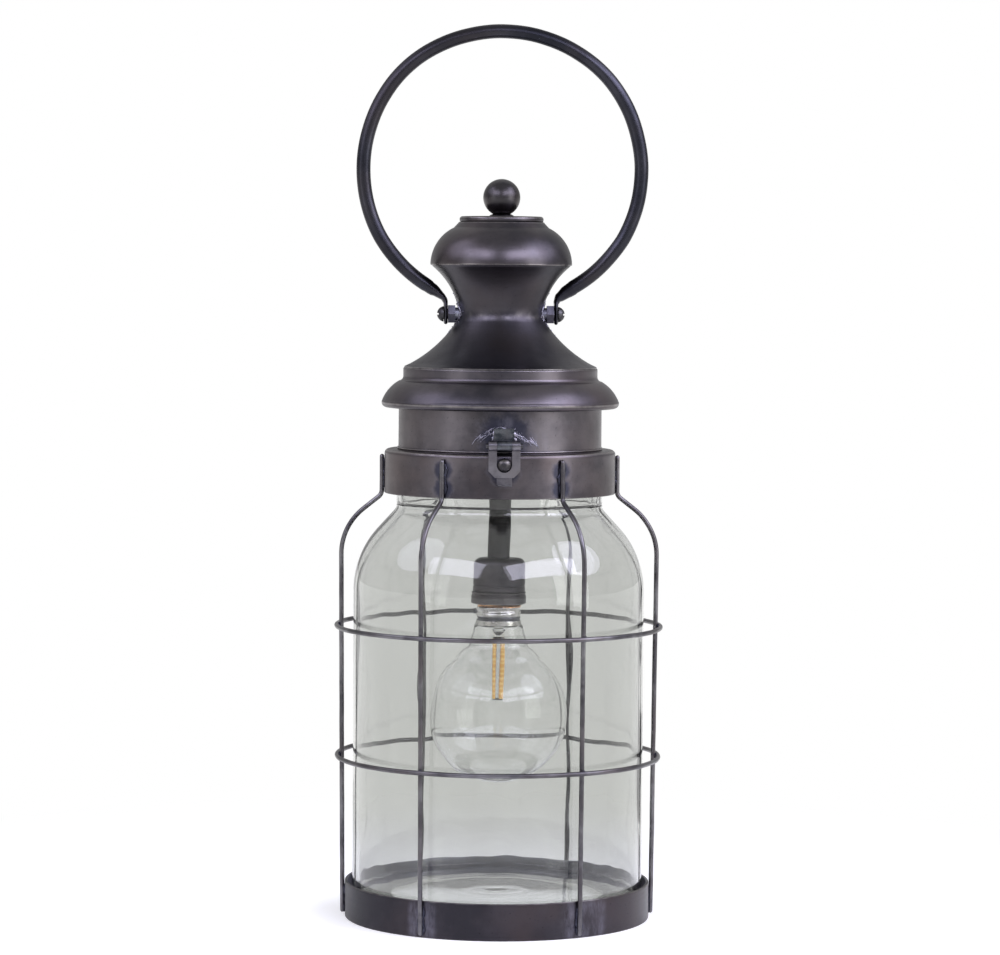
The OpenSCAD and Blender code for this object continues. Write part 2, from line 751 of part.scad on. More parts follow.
module nipple_nuts() {
    color("#8a8580") {
        translate([0, 0, bar_top + washer_t]) hex_nut(2 * nipple_r + 4, nipple_nut_t, nipple_r + fit);
        translate([0, 0, shell_top - 1.4 - nipple_nut_t])
            hex_nut(2 * nipple_r + 4, nipple_nut_t, nipple_r + fit);
    }
}

module terminal_block() {
    color("#e6e2d8") translate([block_x, 0, bar_top]) difference() {
        translate([-block_size[0] / 2, -block_size[1] / 2, 0]) cube(block_size);
        for (y = [-lead_y, lead_y]) translate([0, y, block_size[2] - 6])
            cylinder(r = lead_r + 0.15, h = 7);
        for (y = [-4, 4]) translate([-block_size[0], y, 5]) rotate([0, 90, 0])
            cylinder(r = 0.9, h = 2 * block_size[0]);
    }
}

// Lead from the porcelain insert up through the nipple, over and down into the block
module lead(side) {
    turn_z = bar_top + block_size[2] + 1;
    translate([0, side * lead_y, 0]) {
        rod([0, insert_top], [0, turn_z], 2 * lead_r);
        bend([block_x / 2, turn_z], block_x / 2, 0, 180, 2 * lead_r);
        rod([block_x, turn_z - 6], [block_x, turn_z], 2 * lead_r);
    }
}

module lead_live() { color("#6b4a34") lead(1); }
module lead_neutral() { color("#3f5f8a") lead(-1); }

module grommet_axis() {
    rotate([0, 0, 90 - inlet_turn]) translate([collar_r, 0, seam_z + collar_h / 2 + 1])
        rotate([0, 90, 0]) children();
}

// Rubber bush for the lead, seated in the rear of the collar
module cord_grommet() {
    body_r = inlet_r + 1.3;
    color("#1d1c1c") grommet_axis() difference() {
        union() {
            translate([0, 0, 0.5]) cylinder(r = body_r + 1.6, h = 2);
            translate([0, 0, -sheet_t - 2.6]) cylinder(r = body_r, h = sheet_t + 3.2);
            translate([0, 0, -sheet_t - 2.6]) cylinder(r = body_r + 1, h = 2);
        }
        cylinder(r = inlet_r, h = 20, center = true);
    }
}

// ---- Lampholder ----

shell_z = shell_top - shell_h;
holder_z = shell_z - holder_ring_h;
shell_t = 1.2;
shell_round = 4;
thread_shell_t = 0.25;
insert_r = thread_r + thread_shell_t;
insert_h = 4;
insert_top = nipple_low_z - 1;
insert_z = insert_top - insert_h;

module holder_shell() {
    round_c = [shell_r - shell_round, shell_top - shell_round];
    color("#3b3839") lathe(concat(
        [[insert_r + 0.1, shell_z], [shell_r - 0.3, shell_z], [shell_r, shell_z + 0.8]],
        arc(round_c, shell_round, 0, 90, 8),
        [[nipple_r + fit, shell_top], [nipple_r + fit, shell_top - 1.4]],
        arc(round_c, shell_round - 1.4, 90, 0, 8)));
}

module holder_ring() {
    out_r = shell_r + 0.7;
    color("#3b3839") lathe([[insert_r + 0.1, holder_z + 1.2], [insert_r + 0.5, holder_z],
        [out_r - 0.8, holder_z], [out_r, holder_z + 0.9], [out_r, shell_z - 2.2],
        [out_r - 0.5, shell_z - 1.8], [out_r - 0.5, shell_z - 1.3], [out_r, shell_z - 0.9],
        [out_r - 0.6, shell_z], [insert_r + 0.1, shell_z]]);
}

// Porcelain body with passages for the two leads
module holder_insert() {
    color("#ece8df") translate([0, 0, insert_z]) difference() {
        cylinder(r = insert_r - 0.1, h = insert_h);
        for (y = [-lead_y, lead_y]) translate([0, y, insert_h / 2])
            cylinder(r = lead_r + 0.2, h = insert_h);
    }
}

module holder_thread() {
    color("#b08d4a") translate([0, 0, holder_z + 0.6])
        tube(insert_r, thread_r, insert_z - holder_z - 0.6);
}

module holder_contact() {
    color("#b08d4a") translate([0, 0, tip_z + loose])
        cylinder(r = 4, h = insert_z - tip_z - loose);
}

// ---- Bulb ----

cap_edge_z = holder_z - cap_shows;
tip_z = cap_edge_z + cap_l + 7.4;
globe_z = cap_edge_z - bulb_neck_l;
cap_r = 13.2;
cap_root_r = 12.4;
neck_top_r = cap_r + 0.9;
neck_low = [neck_top_r + 3.2, cap_edge_z - 13];
globe_turn = asin((neck_low[1] - 7.5 - globe_z) / globe_r);
globe_join = [globe_r * cos(globe_turn), globe_z + globe_r * sin(globe_turn)];

module bulb_globe() {
    color([0.9, 0.92, 0.92, 0.3]) lathe(concat(
        arc([0, globe_z], globe_r, -90, globe_turn, 26),
        bow(globe_join, neck_low, -0.9, 0, 5),
        [[neck_top_r, cap_edge_z], [neck_top_r - bulb_t, cap_edge_z]],
        flip(bow(globe_join, neck_low, -0.9, bulb_t, 5)),
        arc([0, globe_z], globe_r - bulb_t, globe_turn, -90, 26)));
}

// Nickel-plated screw shell with its rings of thread
module bulb_cap() {
    turns = floor((cap_l - 4) / cap_pitch);
    thread_z = cap_edge_z + 4;
    color("#a8a6a2") lathe(concat(
        [[cap_r - 1.6, cap_edge_z], [cap_r + 0.3, cap_edge_z], [cap_r + 0.1, cap_edge_z + 2.6],
            [cap_root_r, thread_z]],
        [for (i = [0:turns - 1], k = [1:6]) [
            cap_root_r + (cap_r - cap_root_r) * (1 - cos(60 * k)) / 2,
            thread_z + cap_pitch * (i + k / 6)]],
        [[cap_root_r, cap_edge_z + cap_l], [cap_root_r - 1, cap_edge_z + cap_l],
            [cap_root_r - 1, cap_edge_z + 3]]));
}

module bulb_insulator() {
    top = cap_edge_z + cap_l;
    color("#26262a") lathe([[0, top + fit], [cap_root_r, top + fit], [cap_root_r - 1.5, top + 1.4],
        [6.5, top + 5], [0, top + 5]]);
}

module bulb_tip() {
    color("#a8a6a2") translate([0, 0, cap_edge_z + cap_l + 5 + fit])
        cylinder(r = 5, h = tip_z - cap_edge_z - cap_l - 5 - fit);
}

// Glass stem that seals the neck and carries the filaments
filament_low_z = globe_z + 9;
filament_top_z = filament_low_z + filament_l;
filament_ring_r = 2.8;
filament_r = 0.95;
frame_wire_r = 0.35;

module bulb_stem() {
    foot_r = neck_top_r - bulb_t - 0.2;
    color([0.86, 0.9, 0.9, 0.5]) lathe([[0, cap_edge_z + 2], [cap_r - 2.2, cap_edge_z + 2],
        [cap_r - 2.2, cap_edge_z], [foot_r, cap_edge_z - 0.3], [foot_r, cap_edge_z - 1.2],
        [4, cap_edge_z - 3], [2.2, filament_top_z + 3], [1.1, filament_top_z + 2],
        [1.1, filament_low_z - 1.6], [0, filament_low_z - 1.6]]);
}

module bulb_filaments() {
    color("#f0b04a") for (at = [42, 138, 222, 318])
        rotate([0, 0, at]) translate([filament_ring_r, 0, filament_low_z])
            cylinder(r = filament_r, h = filament_l);
}

// Support wires above and below the filaments
module filament_frame() {
    color("#8d8a86") for (z = [filament_low_z - frame_wire_r - fit,
            filament_top_z + frame_wire_r + fit]) translate([0, 0, z]) {
        round_ring(filament_ring_r, 2 * frame_wire_r);
        for (at = [0, 180]) rotate([0, 0, at]) translate([1.1 + fit, 0, 0])
            rotate([0, 90, 0]) cylinder(r = frame_wire_r * 0.9, h = filament_ring_r - 1.1 - fit);
    }
}

base_band();
bottom_ring();
base_lugs();
bottom_screws();
for (i = [0:wire_count - 1])
    upright_wire(i);
hoop_lower();
hoop_upper();
neck_band();
rim_seal();
jar_base();
jar_wall();
jar_shoulder();
jar_neck();
catch_stud(false);  // catch_stud_front
catch_stud(true);  // catch_stud_rear
collar();
eave();
waist();
crown();
top_disc();
finial_ball();
finial_stud();
finial_nut();
pivot_nut(-1);  // pivot_nut_left
pivot_nut(1);  // pivot_nut_right
pivot_screw(-1);  // pivot_screw_left
pivot_screw(1);  // pivot_screw_right
bail();
hasp_bracket(false);  // hasp_bracket_front
hasp_bracket(true);  // hasp_bracket_rear
hasp_pin(false);  // hasp_pin_front
hasp_pin(true);  // hasp_pin_rear
hasp(false);  // hasp_front
hasp(true);  // hasp_rear
bridge_bar();
stem_nipple();
stem_tube();
nipple_nuts();
lock_washer();
terminal_block();
lead_live();
lead_neutral();
cord_grommet();
holder_shell();
holder_ring();
holder_insert();
holder_thread();
holder_contact();
bulb_globe();
bulb_cap();
bulb_insulator();
bulb_tip();
bulb_stem();
bulb_filaments();
filament_frame();
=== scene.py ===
import math
import random
import bpy
import bmesh
from mathutils import Matrix, Vector, noise


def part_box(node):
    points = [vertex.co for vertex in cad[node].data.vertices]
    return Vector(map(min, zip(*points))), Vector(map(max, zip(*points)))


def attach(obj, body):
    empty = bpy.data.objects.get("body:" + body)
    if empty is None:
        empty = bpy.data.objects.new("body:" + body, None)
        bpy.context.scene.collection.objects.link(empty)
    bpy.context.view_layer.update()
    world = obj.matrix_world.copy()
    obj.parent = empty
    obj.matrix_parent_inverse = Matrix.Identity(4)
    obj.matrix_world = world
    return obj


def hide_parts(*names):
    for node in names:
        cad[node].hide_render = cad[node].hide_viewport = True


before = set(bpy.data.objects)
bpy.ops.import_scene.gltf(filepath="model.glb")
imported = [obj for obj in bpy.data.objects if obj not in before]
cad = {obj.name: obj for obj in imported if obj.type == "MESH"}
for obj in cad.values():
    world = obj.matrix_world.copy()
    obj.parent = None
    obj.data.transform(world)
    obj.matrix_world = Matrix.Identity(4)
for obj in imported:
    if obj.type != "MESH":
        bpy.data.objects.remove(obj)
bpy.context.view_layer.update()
mm = 0.001

# ---- Room: a white floor that runs into a white background, and a camera at the photograph's
# angle. Two wide lamps, two tall panels and two round lamps stand on the camera's side, so that
# the glass shows them, and the world fills the rest.

def add(tree, kind, **settings):
    """A new node in the tree."""
    made = tree.nodes.new(kind)
    for key, value in settings.items():
        setattr(made, key, value)
    return made


def feed(tree, value, socket):
    """Sets a socket to a number or a colour, or links another socket to it."""
    if isinstance(value, bpy.types.NodeSocket):
        tree.links.new(value, socket)
    else:
        socket.default_value = value


def calc(tree, operation, first, second=0.0, clamp=False):
    """Result of a Math node."""
    made = add(tree, "ShaderNodeMath", operation=operation, use_clamp=clamp)
    feed(tree, first, made.inputs[0])
    feed(tree, second, made.inputs[1])
    return made.outputs[0]


def blend_colors(tree, share, first, second):
    """The first colour where share is 0, and the second where it is 1."""
    made = add(tree, "ShaderNodeMix", data_type="RGBA")
    for place, value in ((0, share), (6, first), (7, second)):
        feed(tree, value, made.inputs[place])
    return made.outputs[2]


def ease(tree, value, low, high, to_low=0.0, to_high=1.0):
    """The value's range from low to high, mapped smoothly to another range."""
    made = add(tree, "ShaderNodeMapRange", interpolation_type="SMOOTHSTEP")
    for socket, number in zip(made.inputs, (value, low, high, to_low, to_high)):
        feed(tree, number, socket)
    return made.outputs[0]


def spot_in(tree, stretch=None):
    """Place in the object's own frame, stretched along x, y and z where factors are given."""
    spot = add(tree, "ShaderNodeTexCoord").outputs["Object"]
    if stretch is None:
        return spot
    made = add(tree, "ShaderNodeMapping")
    feed(tree, spot, made.inputs["Vector"])
    feed(tree, stretch, made.inputs["Scale"])
    return made.outputs[0]


def new_material(name):
    """A new material, its node tree and its Principled BSDF."""
    made = bpy.data.materials.new(name)
    made.use_nodes = True
    return made, made.node_tree, made.node_tree.nodes["Principled BSDF"]


room = bpy.data.worlds.new("room")
bpy.context.scene.world = room
room.use_nodes = True
tree = room.node_tree
tree.nodes.clear()
rays = add(tree, "ShaderNodeLightPath").outputs
seen = calc(tree, "MAXIMUM", rays["Is Camera Ray"], rays["Is Transmission Ray"])
way = add(tree, "ShaderNodeSeparateXYZ")
feed(tree, add(tree, "ShaderNodeTexCoord").outputs["Generated"], way.inputs[0])
# The dark side of the room lies behind the camera, and its ceiling is a little paler
mirror_level = calc(tree, "ADD", ease(tree, way.outputs["Y"], -0.35, 0.55, 0.25, 0.50),
                    ease(tree, way.outputs["Z"], 0.3, 1.0, 0.0, 0.22), clamp=True)
soft_level = 0.25
level = calc(tree, "ADD", calc(tree, "MULTIPLY", rays["Is Glossy Ray"], mirror_level),
             calc(tree, "MULTIPLY", calc(tree, "SUBTRACT", 1.0, rays["Is Glossy Ray"]), soft_level))
level = calc(tree, "MAXIMUM", level, seen)
background = add(tree, "ShaderNodeBackground")
background.inputs["Color"].default_value = (1.0, 1.0, 1.0, 1.0)
feed(tree, level, background.inputs["Strength"])
tree.links.new(background.outputs[0], add(tree, "ShaderNodeOutputWorld").inputs["Surface"])

floor_mesh = bpy.data.meshes.new("floor")
reach = 30.0
floor_mesh.from_pydata([(-reach, -reach, 0), (reach, -reach, 0), (reach, reach, 0), (-reach, reach, 0)],
                       [], [(0, 1, 2, 3)])
floor = bpy.data.objects.new("floor", floor_mesh)
bpy.context.collection.objects.link(floor)
paper, tree, surface = new_material("floor_paper")
surface.inputs["Base Color"].default_value = (0.92, 0.92, 0.92, 1.0)
surface.inputs["Roughness"].default_value = 0.9
surface.inputs["Specular IOR Level"].default_value = 0.0
# It keeps the lamp's shadow, and from half a metre on it is as white as the background
rays = add(tree, "ShaderNodeLightPath").outputs
seen = calc(tree, "MAXIMUM", calc(tree, "MAXIMUM", rays["Is Camera Ray"], rays["Is Transmission Ray"]),
            rays["Is Glossy Ray"])
near_glow, shadow_end, white_from = 0.42, 0.16, 0.5
glow = add(tree, "ShaderNodeEmission")
feed(tree, calc(tree, "MULTIPLY", seen, near_glow), glow.inputs["Strength"])
both = add(tree, "ShaderNodeAddShader")
tree.links.new(surface.outputs[0], both.inputs[0])
tree.links.new(glow.outputs[0], both.inputs[1])
away = add(tree, "ShaderNodeVectorMath", operation="LENGTH")
feed(tree, spot_in(tree), away.inputs[0])
white = add(tree, "ShaderNodeEmission")
far = add(tree, "ShaderNodeMixShader")
whiteness = ease(tree, away.outputs["Value"], shadow_end, white_from)
feed(tree, calc(tree, "MULTIPLY", seen, whiteness), far.inputs[0])
tree.links.new(both.outputs[0], far.inputs[1])
tree.links.new(white.outputs[0], far.inputs[2])
tree.links.new(far.outputs[0], tree.nodes["Material Output"].inputs["Surface"])
floor_mesh.materials.append(paper)

camera_turn = -2.2


def lamp(name, turn, rise, width, height, radiance, shape="RECTANGLE", tint=(1, 1, 1)):
    """An area lamp of that radiance, turn degrees to the right of the camera and rise degrees up."""
    turn += camera_turn
    light = bpy.data.lights.new(name, "AREA")
    light.shape = shape
    light.size, light.size_y = width, height
    area = width * height * (1.0 if shape == "RECTANGLE" else math.pi / 4)
    # Blender shows an area lamp as bright as its watts over four times its area
    light.energy = 4 * area * radiance
    light.color = tint
    aim, distance = Vector((0, 0, 0.25)), 1.9
    turn, rise = math.radians(turn), math.radians(rise)
    away = Vector((math.sin(turn) * math.cos(rise), -math.cos(turn) * math.cos(rise), math.sin(rise)))
    made = bpy.data.objects.new(name, light)
    made.matrix_world = (Matrix.Translation(aim + away * distance)
                         @ away.to_track_quat("Z", "Y").to_matrix().to_4x4())
    made.visible_camera = False
    bpy.context.collection.objects.link(made)


daylight = (0.82, 0.81, 1.0)
lamp("window_left", -39, 33, 1.5, 0.66, 3.1, tint=daylight)
lamp("window_right", 39.5, 33, 1.95, 0.66, 4.0, tint=daylight)
lamp("panel_left", -52, 8, 0.75, 1.0, 0.8)
lamp("panel_right", 60, 8, 0.95, 1.0, 1.8)
lamp("round_left", -84, 38, 1.25, 1.25, 1.2, shape="ELLIPSE", tint=daylight)
lamp("round_right", 80, 36, 1.3, 1.3, 2.7, shape="ELLIPSE", tint=daylight)

lens = bpy.data.cameras.new("camera")
lens.sensor_width = 36.0
lens.lens = 135.72
camera = bpy.data.objects.new("camera", lens)
camera_place, camera_tilt, camera_roll = (0.0002, -2.1785, 0.375), 3.15, 0.43
camera.matrix_world = (Matrix.Rotation(math.radians(camera_turn), 4, "Z") @ Matrix.Translation(camera_place)
                       @ Matrix.Rotation(math.radians(90 - camera_tilt), 4, "X")
                       @ Matrix.Rotation(math.radians(camera_roll), 4, "Z"))
bpy.context.collection.objects.link(camera)
bpy.context.scene.camera = camera
bpy.context.scene.view_settings.view_transform = "Standard"

# ---- Base band: a strip of 1.5 mm steel rolled to a hoop, 176.6 mm across, brazed shut and
# darkened with a bronze-black patina. The uprights are brazed to its outside, and the heat has
# drawn blue and lilac halos round each of them.

def arc(center, radius, start, end, count):
    """Points of a circle's arc in the plane of radius and height, in mm, angles in degrees."""
    return [(center[0] + radius * math.cos(math.radians(start + (end - start) * i / count)),
             center[1] + radius * math.sin(math.radians(start + (end - start) * i / count)))
            for i in range(count + 1)]


def refine(points, step, closed=True):
    """The same line with no stretch longer than step."""
    result = []
    pairs = zip(points, points[1:] + points[:1]) if closed else zip(points, points[1:])
    for p, q in pairs:
        count = max(1, math.ceil(math.dist(p, q) / step))
        result += [tuple(a + (b - a) * i / count for a, b in zip(p, q)) for i in range(count)]
    return result if closed else result + [points[-1]]


def lumps(point, size, seed=0.0):
    """Smooth noise from about -1 to 1 with lumps of that size in mm."""
    return noise.noise(Vector((point[0] / size + seed, point[1] / size - seed, point[2] / size + 3 * seed)))


def make(name, shape, material, body, stands_for=(), sharp=35):
    """A piece from a shape: points in mm, faces, and marks that the material reads at each point."""
    points, faces, marks = shape
    mesh = bpy.data.meshes.new(name)
    mesh.from_pydata([(x * mm, y * mm, z * mm) for x, y, z in points], [], faces)
    for label, values in marks.items():
        mesh.attributes.new(label, "FLOAT", "POINT").data.foreach_set("value", values)
    tidy = bmesh.new()
    tidy.from_mesh(mesh)
    bmesh.ops.recalc_face_normals(tidy, faces=tidy.faces)
    tidy.to_mesh(mesh)
    tidy.free()
    mesh.shade_smooth()
    mesh.set_sharp_from_angle(angle=math.radians(sharp))
    mesh.materials.append(material)
    piece = bpy.data.objects.new(name, mesh)
    bpy.context.collection.objects.link(piece)
    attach(piece, body)
    if stands_for:
        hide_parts(*stands_for)
    return piece


def turn_points(around, side_at):
    """Points of a turned surface. side_at gives its line of (radius, height) at an angle."""
    points = []
    for i in range(around):
        turn = 2 * math.pi * i / around
        points += [(r * math.cos(turn), r * math.sin(turn), z) for r, z in side_at(turn)]
    return points


def wrap(around, count, closed=True):
    """Faces of a turned surface that has the same count of points at each of its places around."""
    return [(i * count + k, ((i + 1) % around) * count + k,
             ((i + 1) % around) * count + (k + 1) % count, i * count + (k + 1) % count)
            for i in range(around) for k in range(count if closed else count - 1)]


def lathe(profile, around, dent=0.0, dent_size=30.0, edges=(), heats=(), blooms=(), step=1.6):
    """Turns a closed profile of (radius, height) about the axis. dent is how far it is out of round.
    edges lists (radius, height, reach, strength) where the patina is made paler, and the strength
    may be left out; most are rubbing on edges, and the one at the waist's narrowest is a painted
    highlight as well. heats lists (azimuth, height, reach) of spots blued by the torch, and blooms
    lists the same for spots with a pale lilac crust."""
    profile = refine(profile, step)

    def side_at(turn):
        c, s = math.cos(turn) * 60, math.sin(turn) * 60
        return [(r + dent * lumps((c, s, z), dent_size, 7.3) * min(1.0, r / 20), z) for r, z in profile]

    def wear_and_sheen_at(point):
        rubs = [(1 - math.dist(point, edge[:2]) / edge[2]) * (edge[3] if edge[3:] else 1) for edge in edges]
        return max([0.0] + rubs)

    def near(spots, turn, r, z):
        most = 0.0
        for azimuth, height, far in spots:
            gap = abs((math.degrees(turn) - azimuth + 180) % 360 - 180)
            if gap < 60:
                most = max(most, 1 - math.hypot(math.radians(gap) * r, z - height) / far)
        return most

    turns = [2 * math.pi * i / around for i in range(around)]
    marks = {"wear_and_sheen": [wear_and_sheen_at(point) for point in profile] * around,
             "hot": [near(heats, turn, r, z) for turn in turns for r, z in profile],
             "crust": [near(blooms, turn, r, z) for turn in turns for r, z in profile]}
    return turn_points(around, side_at), wrap(around, len(profile)), marks


def cloud(tree, place, scale, detail, roughness=0.5):
    """Cloudy noise from 0 to 1. The scale is a number or a socket."""
    made = add(tree, "ShaderNodeTexNoise")
    for label, value in (("Vector", place), ("Scale", scale), ("Detail", detail), ("Roughness", roughness)):
        feed(tree, value, made.inputs[label])
    return made.outputs["Fac"]


def cover(tree, color, rough, height, strength, distance=0.0002):
    """Gives the material's surface a colour and a roughness, and bumps it by a height."""
    raised = add(tree, "ShaderNodeBump")
    for label, value in (("Strength", strength), ("Distance", distance), ("Height", height)):
        feed(tree, value, raised.inputs[label])
    surface = tree.nodes["Principled BSDF"]
    for label, value in (("Base Color", color), ("Roughness", rough), ("Normal", raised.outputs[0])):
        feed(tree, value, surface.inputs[label])


def patina_group():
    """Colour, roughness and height of darkened steel: rings left by the tool, cloudy patina,
    specks, pale marked places (rubbing on edges, and a painted highlight at the waist), and the
    tempering colours and flux round a brazed spot."""
    group = bpy.data.node_groups.new("Darkened steel", "ShaderNodeTree")
    for side, kind, names in (("INPUT", "NodeSocketColor", ("Dark", "Pale", "Warm")),
                              ("INPUT", "NodeSocketFloat", ("Cloud Size", "Ring Size", "Ring Depth", "Polish")),
                              ("OUTPUT", "NodeSocketColor", ("Color",)),
                              ("OUTPUT", "NodeSocketFloat", ("Roughness", "Height"))):
        for name in names:
            group.interface.new_socket(name=name, in_out=side, socket_type=kind)
    given = add(group, "NodeGroupInput").outputs
    spot = spot_in(group)
    split = add(group, "ShaderNodeSeparateXYZ")
    feed(group, spot, split.inputs[0])
    x, y, z = split.outputs

    def times(first, second):
        return calc(group, "MULTIPLY", first, second)

    def plus(first, second, clamp=False):
        return calc(group, "ADD", first, second, clamp)

    def haze(scale, detail, roughness=0.55, place=spot):
        return cloud(group, place, scale, detail, roughness)

    def swing(value, reach):
        """A value from 0 to 1 turned into one from -reach / 2 to reach / 2."""
        return times(calc(group, "SUBTRACT", value, 0.5), reach)

    def mark(name):
        return add(group, "ShaderNodeAttribute", attribute_name=name).outputs["Fac"]

    # Rings: fast along the profile, slow round the axis
    across = calc(group, "SQRT", plus(times(x, x), times(y, y)))
    ring_place = add(group, "ShaderNodeCombineXYZ")
    for place, value in enumerate((calc(group, "DIVIDE", times(plus(across, z), 1000.0), given["Ring Size"]),
                                   times(x, 14.0), times(y, 14.0))):
        feed(group, value, ring_place.inputs[place])
    rings = swing(haze(1.0, 3, 0.6, ring_place.outputs[0]), given["Ring Depth"])
    # Patina: clouds from dark to pale, warmer in places, with dark specks
    big = ease(group, haze(given["Cloud Size"], 5), 0.36, 0.66)
    tint = ease(group, haze(times(given["Cloud Size"], 0.6), 4, 0.6), 0.42, 0.72)
    mottle = swing(haze(times(given["Cloud Size"], 6.0), 5, 0.6), 0.9)
    specks = ease(group, haze(900.0, 2), 0.66, 0.74)
    pale_share = plus(big, plus(mottle, times(rings, 0.6)), clamp=True)
    color = blend_colors(group, pale_share, given["Dark"], given["Pale"])
    color = blend_colors(group, times(tint, 0.75), color, given["Warm"])
    color = blend_colors(group, times(specks, 0.35), color, (0.02, 0.02, 0.025, 1))
    # Heat: a thin lilac bloom outside, blue-black inside
    ragged = plus(mark("hot"), swing(haze(190.0, 5, 0.65), 0.5))
    bloom = times(ease(group, ragged, 0.05, 0.35), ease(group, haze(420.0, 4), 0.35, 0.6))
    color = blend_colors(group, times(bloom, 0.22), color, (0.20, 0.19, 0.24, 1))
    color = blend_colors(group, times(ease(group, ragged, 0.22, 0.55), 0.85), color, (0.034, 0.036, 0.058, 1))
    # Crust: streaks of flux that run up and down
    streaks = ease(group, haze(190.0, 6, 0.7, spot_in(group, (1.0, 1.0, 0.3))), 0.34, 0.68)
    crust = times(ease(group, mark("crust"), 0.0, 0.7), streaks)
    color = blend_colors(group, times(crust, 0.42), color, (0.22, 0.212, 0.27, 1))
    # Wear and painted highlight: the marked places turn pale and a little smoother. Most are rubbing on edges,
    # and the ring at the waist's narrowest is a painted highlight as well
    rub_and_sheen = ease(group, plus(mark("wear_and_sheen"), swing(haze(200.0, 4), 0.7)), 0.40, 1.0)
    color = blend_colors(group, times(rub_and_sheen, 0.5), color, (0.36, 0.335, 0.335, 1))
    rough = plus(plus(plus(given["Polish"], swing(big, -0.08)), times(rings, 0.25)), times(specks, 0.2))
    rough = calc(group, "SUBTRACT", rough, times(rub_and_sheen, 0.08), clamp=True)
    height = plus(times(rings, 0.4), times(haze(2600.0, 2), 0.12))
    height = calc(group, "SUBTRACT", height, times(specks, 0.25))
    result = add(group, "NodeGroupOutput").inputs
    for label, value in (("Color", color), ("Roughness", rough), ("Height", height)):
        feed(group, value, result[label])
    return group


darkened = patina_group()


def steel(name, dark, pale, warm, clouds, polish=0.38, ring=1.4, depth=1.0, metal=1.0):
    """A finish of darkened steel with its own colours. ring is the pitch of its tool marks in mm."""
    made, tree, surface = new_material(name)
    surface.inputs["Metallic"].default_value = metal
    worked = add(tree, "ShaderNodeGroup", node_tree=darkened)
    for socket, value in zip(worked.inputs, ((*dark, 1), (*pale, 1), (*warm, 1), clouds, ring, depth, polish)):
        socket.default_value = value
    cover(tree, *worked.outputs, 0.25)
    return made


base_r, base_in, base_h, edge_r = 88.3, 86.8, 21.0, 0.5
first_upright = -60.7
upright_turns = [first_upright + 60 * i for i in range(6)]
base_finish = steel("base_patina", (0.038, 0.036, 0.043), (0.062, 0.057, 0.068), (0.066, 0.052, 0.053),
                    clouds=18.0, polish=0.42, depth=0.4)
band_profile = []
for corner, start in (((base_r - edge_r, edge_r), -90), ((base_r - edge_r, base_h - edge_r), 0),
                      ((base_in + edge_r, base_h - edge_r), 90), ((base_in + edge_r, edge_r), 180)):
    band_profile += arc(corner, edge_r, start, start + 90, 4)
band = make("base_band_rolled",
            lathe(band_profile, 240, dent=0.22, dent_size=38, edges=[(base_r, base_h, 1.0), (base_r, 0, 1.0)],
                  heats=[(turn, z, 5) for turn in upright_turns for z in (6, 14)],
                  blooms=[(turn + side, z, 7) for turn in upright_turns for z in (4, 10, 16)
                          for side in ((-3.0, 2.6, 6.5, 9.5) if turn == first_upright else (-2.6, 2.6))]),
            base_finish, "cage", ["base_band"])
# Inside, the patina is thinner and the steel shows lilac through it
inner_finish = steel("inner_steel", (0.13, 0.128, 0.16), (0.30, 0.295, 0.36), (0.21, 0.19, 0.21),
                     clouds=34.0, polish=0.40, depth=0.4)
band.data.materials.append(inner_finish)
for side in band.data.polygons:
    if math.hypot(side.center.x, side.center.y) < (base_in + 0.3) * mm:
        side.material_index = 1

# ---- Bottom ring, lugs and screws: a flat steel ring carries the jar. Three screws with
# slotted heads hold it to lugs brazed inside the band, and they are zinc plated.

def finish_node(material, *names):
    """Gives CAD nodes a material in place of their own."""
    for name in names:
        mesh = cad[name].data
        mesh.materials.clear()
        mesh.materials.append(material)


ring_finish = steel("ring_steel", (0.040, 0.040, 0.056), (0.115, 0.113, 0.15), (0.080, 0.071, 0.085),
                    clouds=60.0, polish=0.66, depth=0.4, metal=0.2)
finish_node(ring_finish, "bottom_ring", "base_lugs")


def plated(name, pale, dull, polish, grain=700.0):
    """Bright plating with fine scratches and cloudy tarnish."""
    made, tree, surface = new_material(name)
    surface.inputs["Metallic"].default_value = 1.0
    scratch = cloud(tree, spot_in(tree, (1.0, 1.0, 6.0)), grain, 4)
    cloudy = ease(tree, cloud(tree, spot_in(tree), 160.0, 4), 0.38, 0.66)
    rough = calc(tree, "ADD", calc(tree, "MULTIPLY", scratch, 0.2),
                 calc(tree, "ADD", calc(tree, "MULTIPLY", cloudy, 0.12), polish - 0.1))
    cover(tree, blend_colors(tree, cloudy, (*pale, 1), (*dull, 1)), rough, scratch, 0.12, 0.0001)
    return made


zinc = plated("zinc_plating", (0.52, 0.51, 0.49), (0.36, 0.34, 0.31), 0.3)
finish_node(zinc, "bottom_screws")

# ---- Upright wires: six 2.7 mm wires, cold-bent in over the shoulder and brazed to the bands.
# Each braze is a lumpy fillet, and the wire's ends are rounded off.

wire_r = 1.35
band_r, band_z, seam_z = 66.7, 246.3, 271.6


def bow(start, end, sag, grow=0.0, count=16):
    """Arc from start to end that swells by sag to the left of its way, moved to the left by grow."""
    length = math.dist(start, end)
    side = (-(end[1] - start[1]) / length, (end[0] - start[0]) / length)
    radius = ((length / 2) ** 2 + sag * sag) / (2 * abs(sag))
    sign = 1 if sag > 0 else -1
    center = tuple((a + b) / 2 + n * (sag - sign * radius) for a, b, n in zip(start, end, side))
    first = math.degrees(math.atan2(start[1] - center[1], start[0] - center[0]))
    turn = 2 * math.degrees(math.asin(length / 2 / radius)) * sign
    return arc(center, radius + sign * grow, first, first - turn, count)


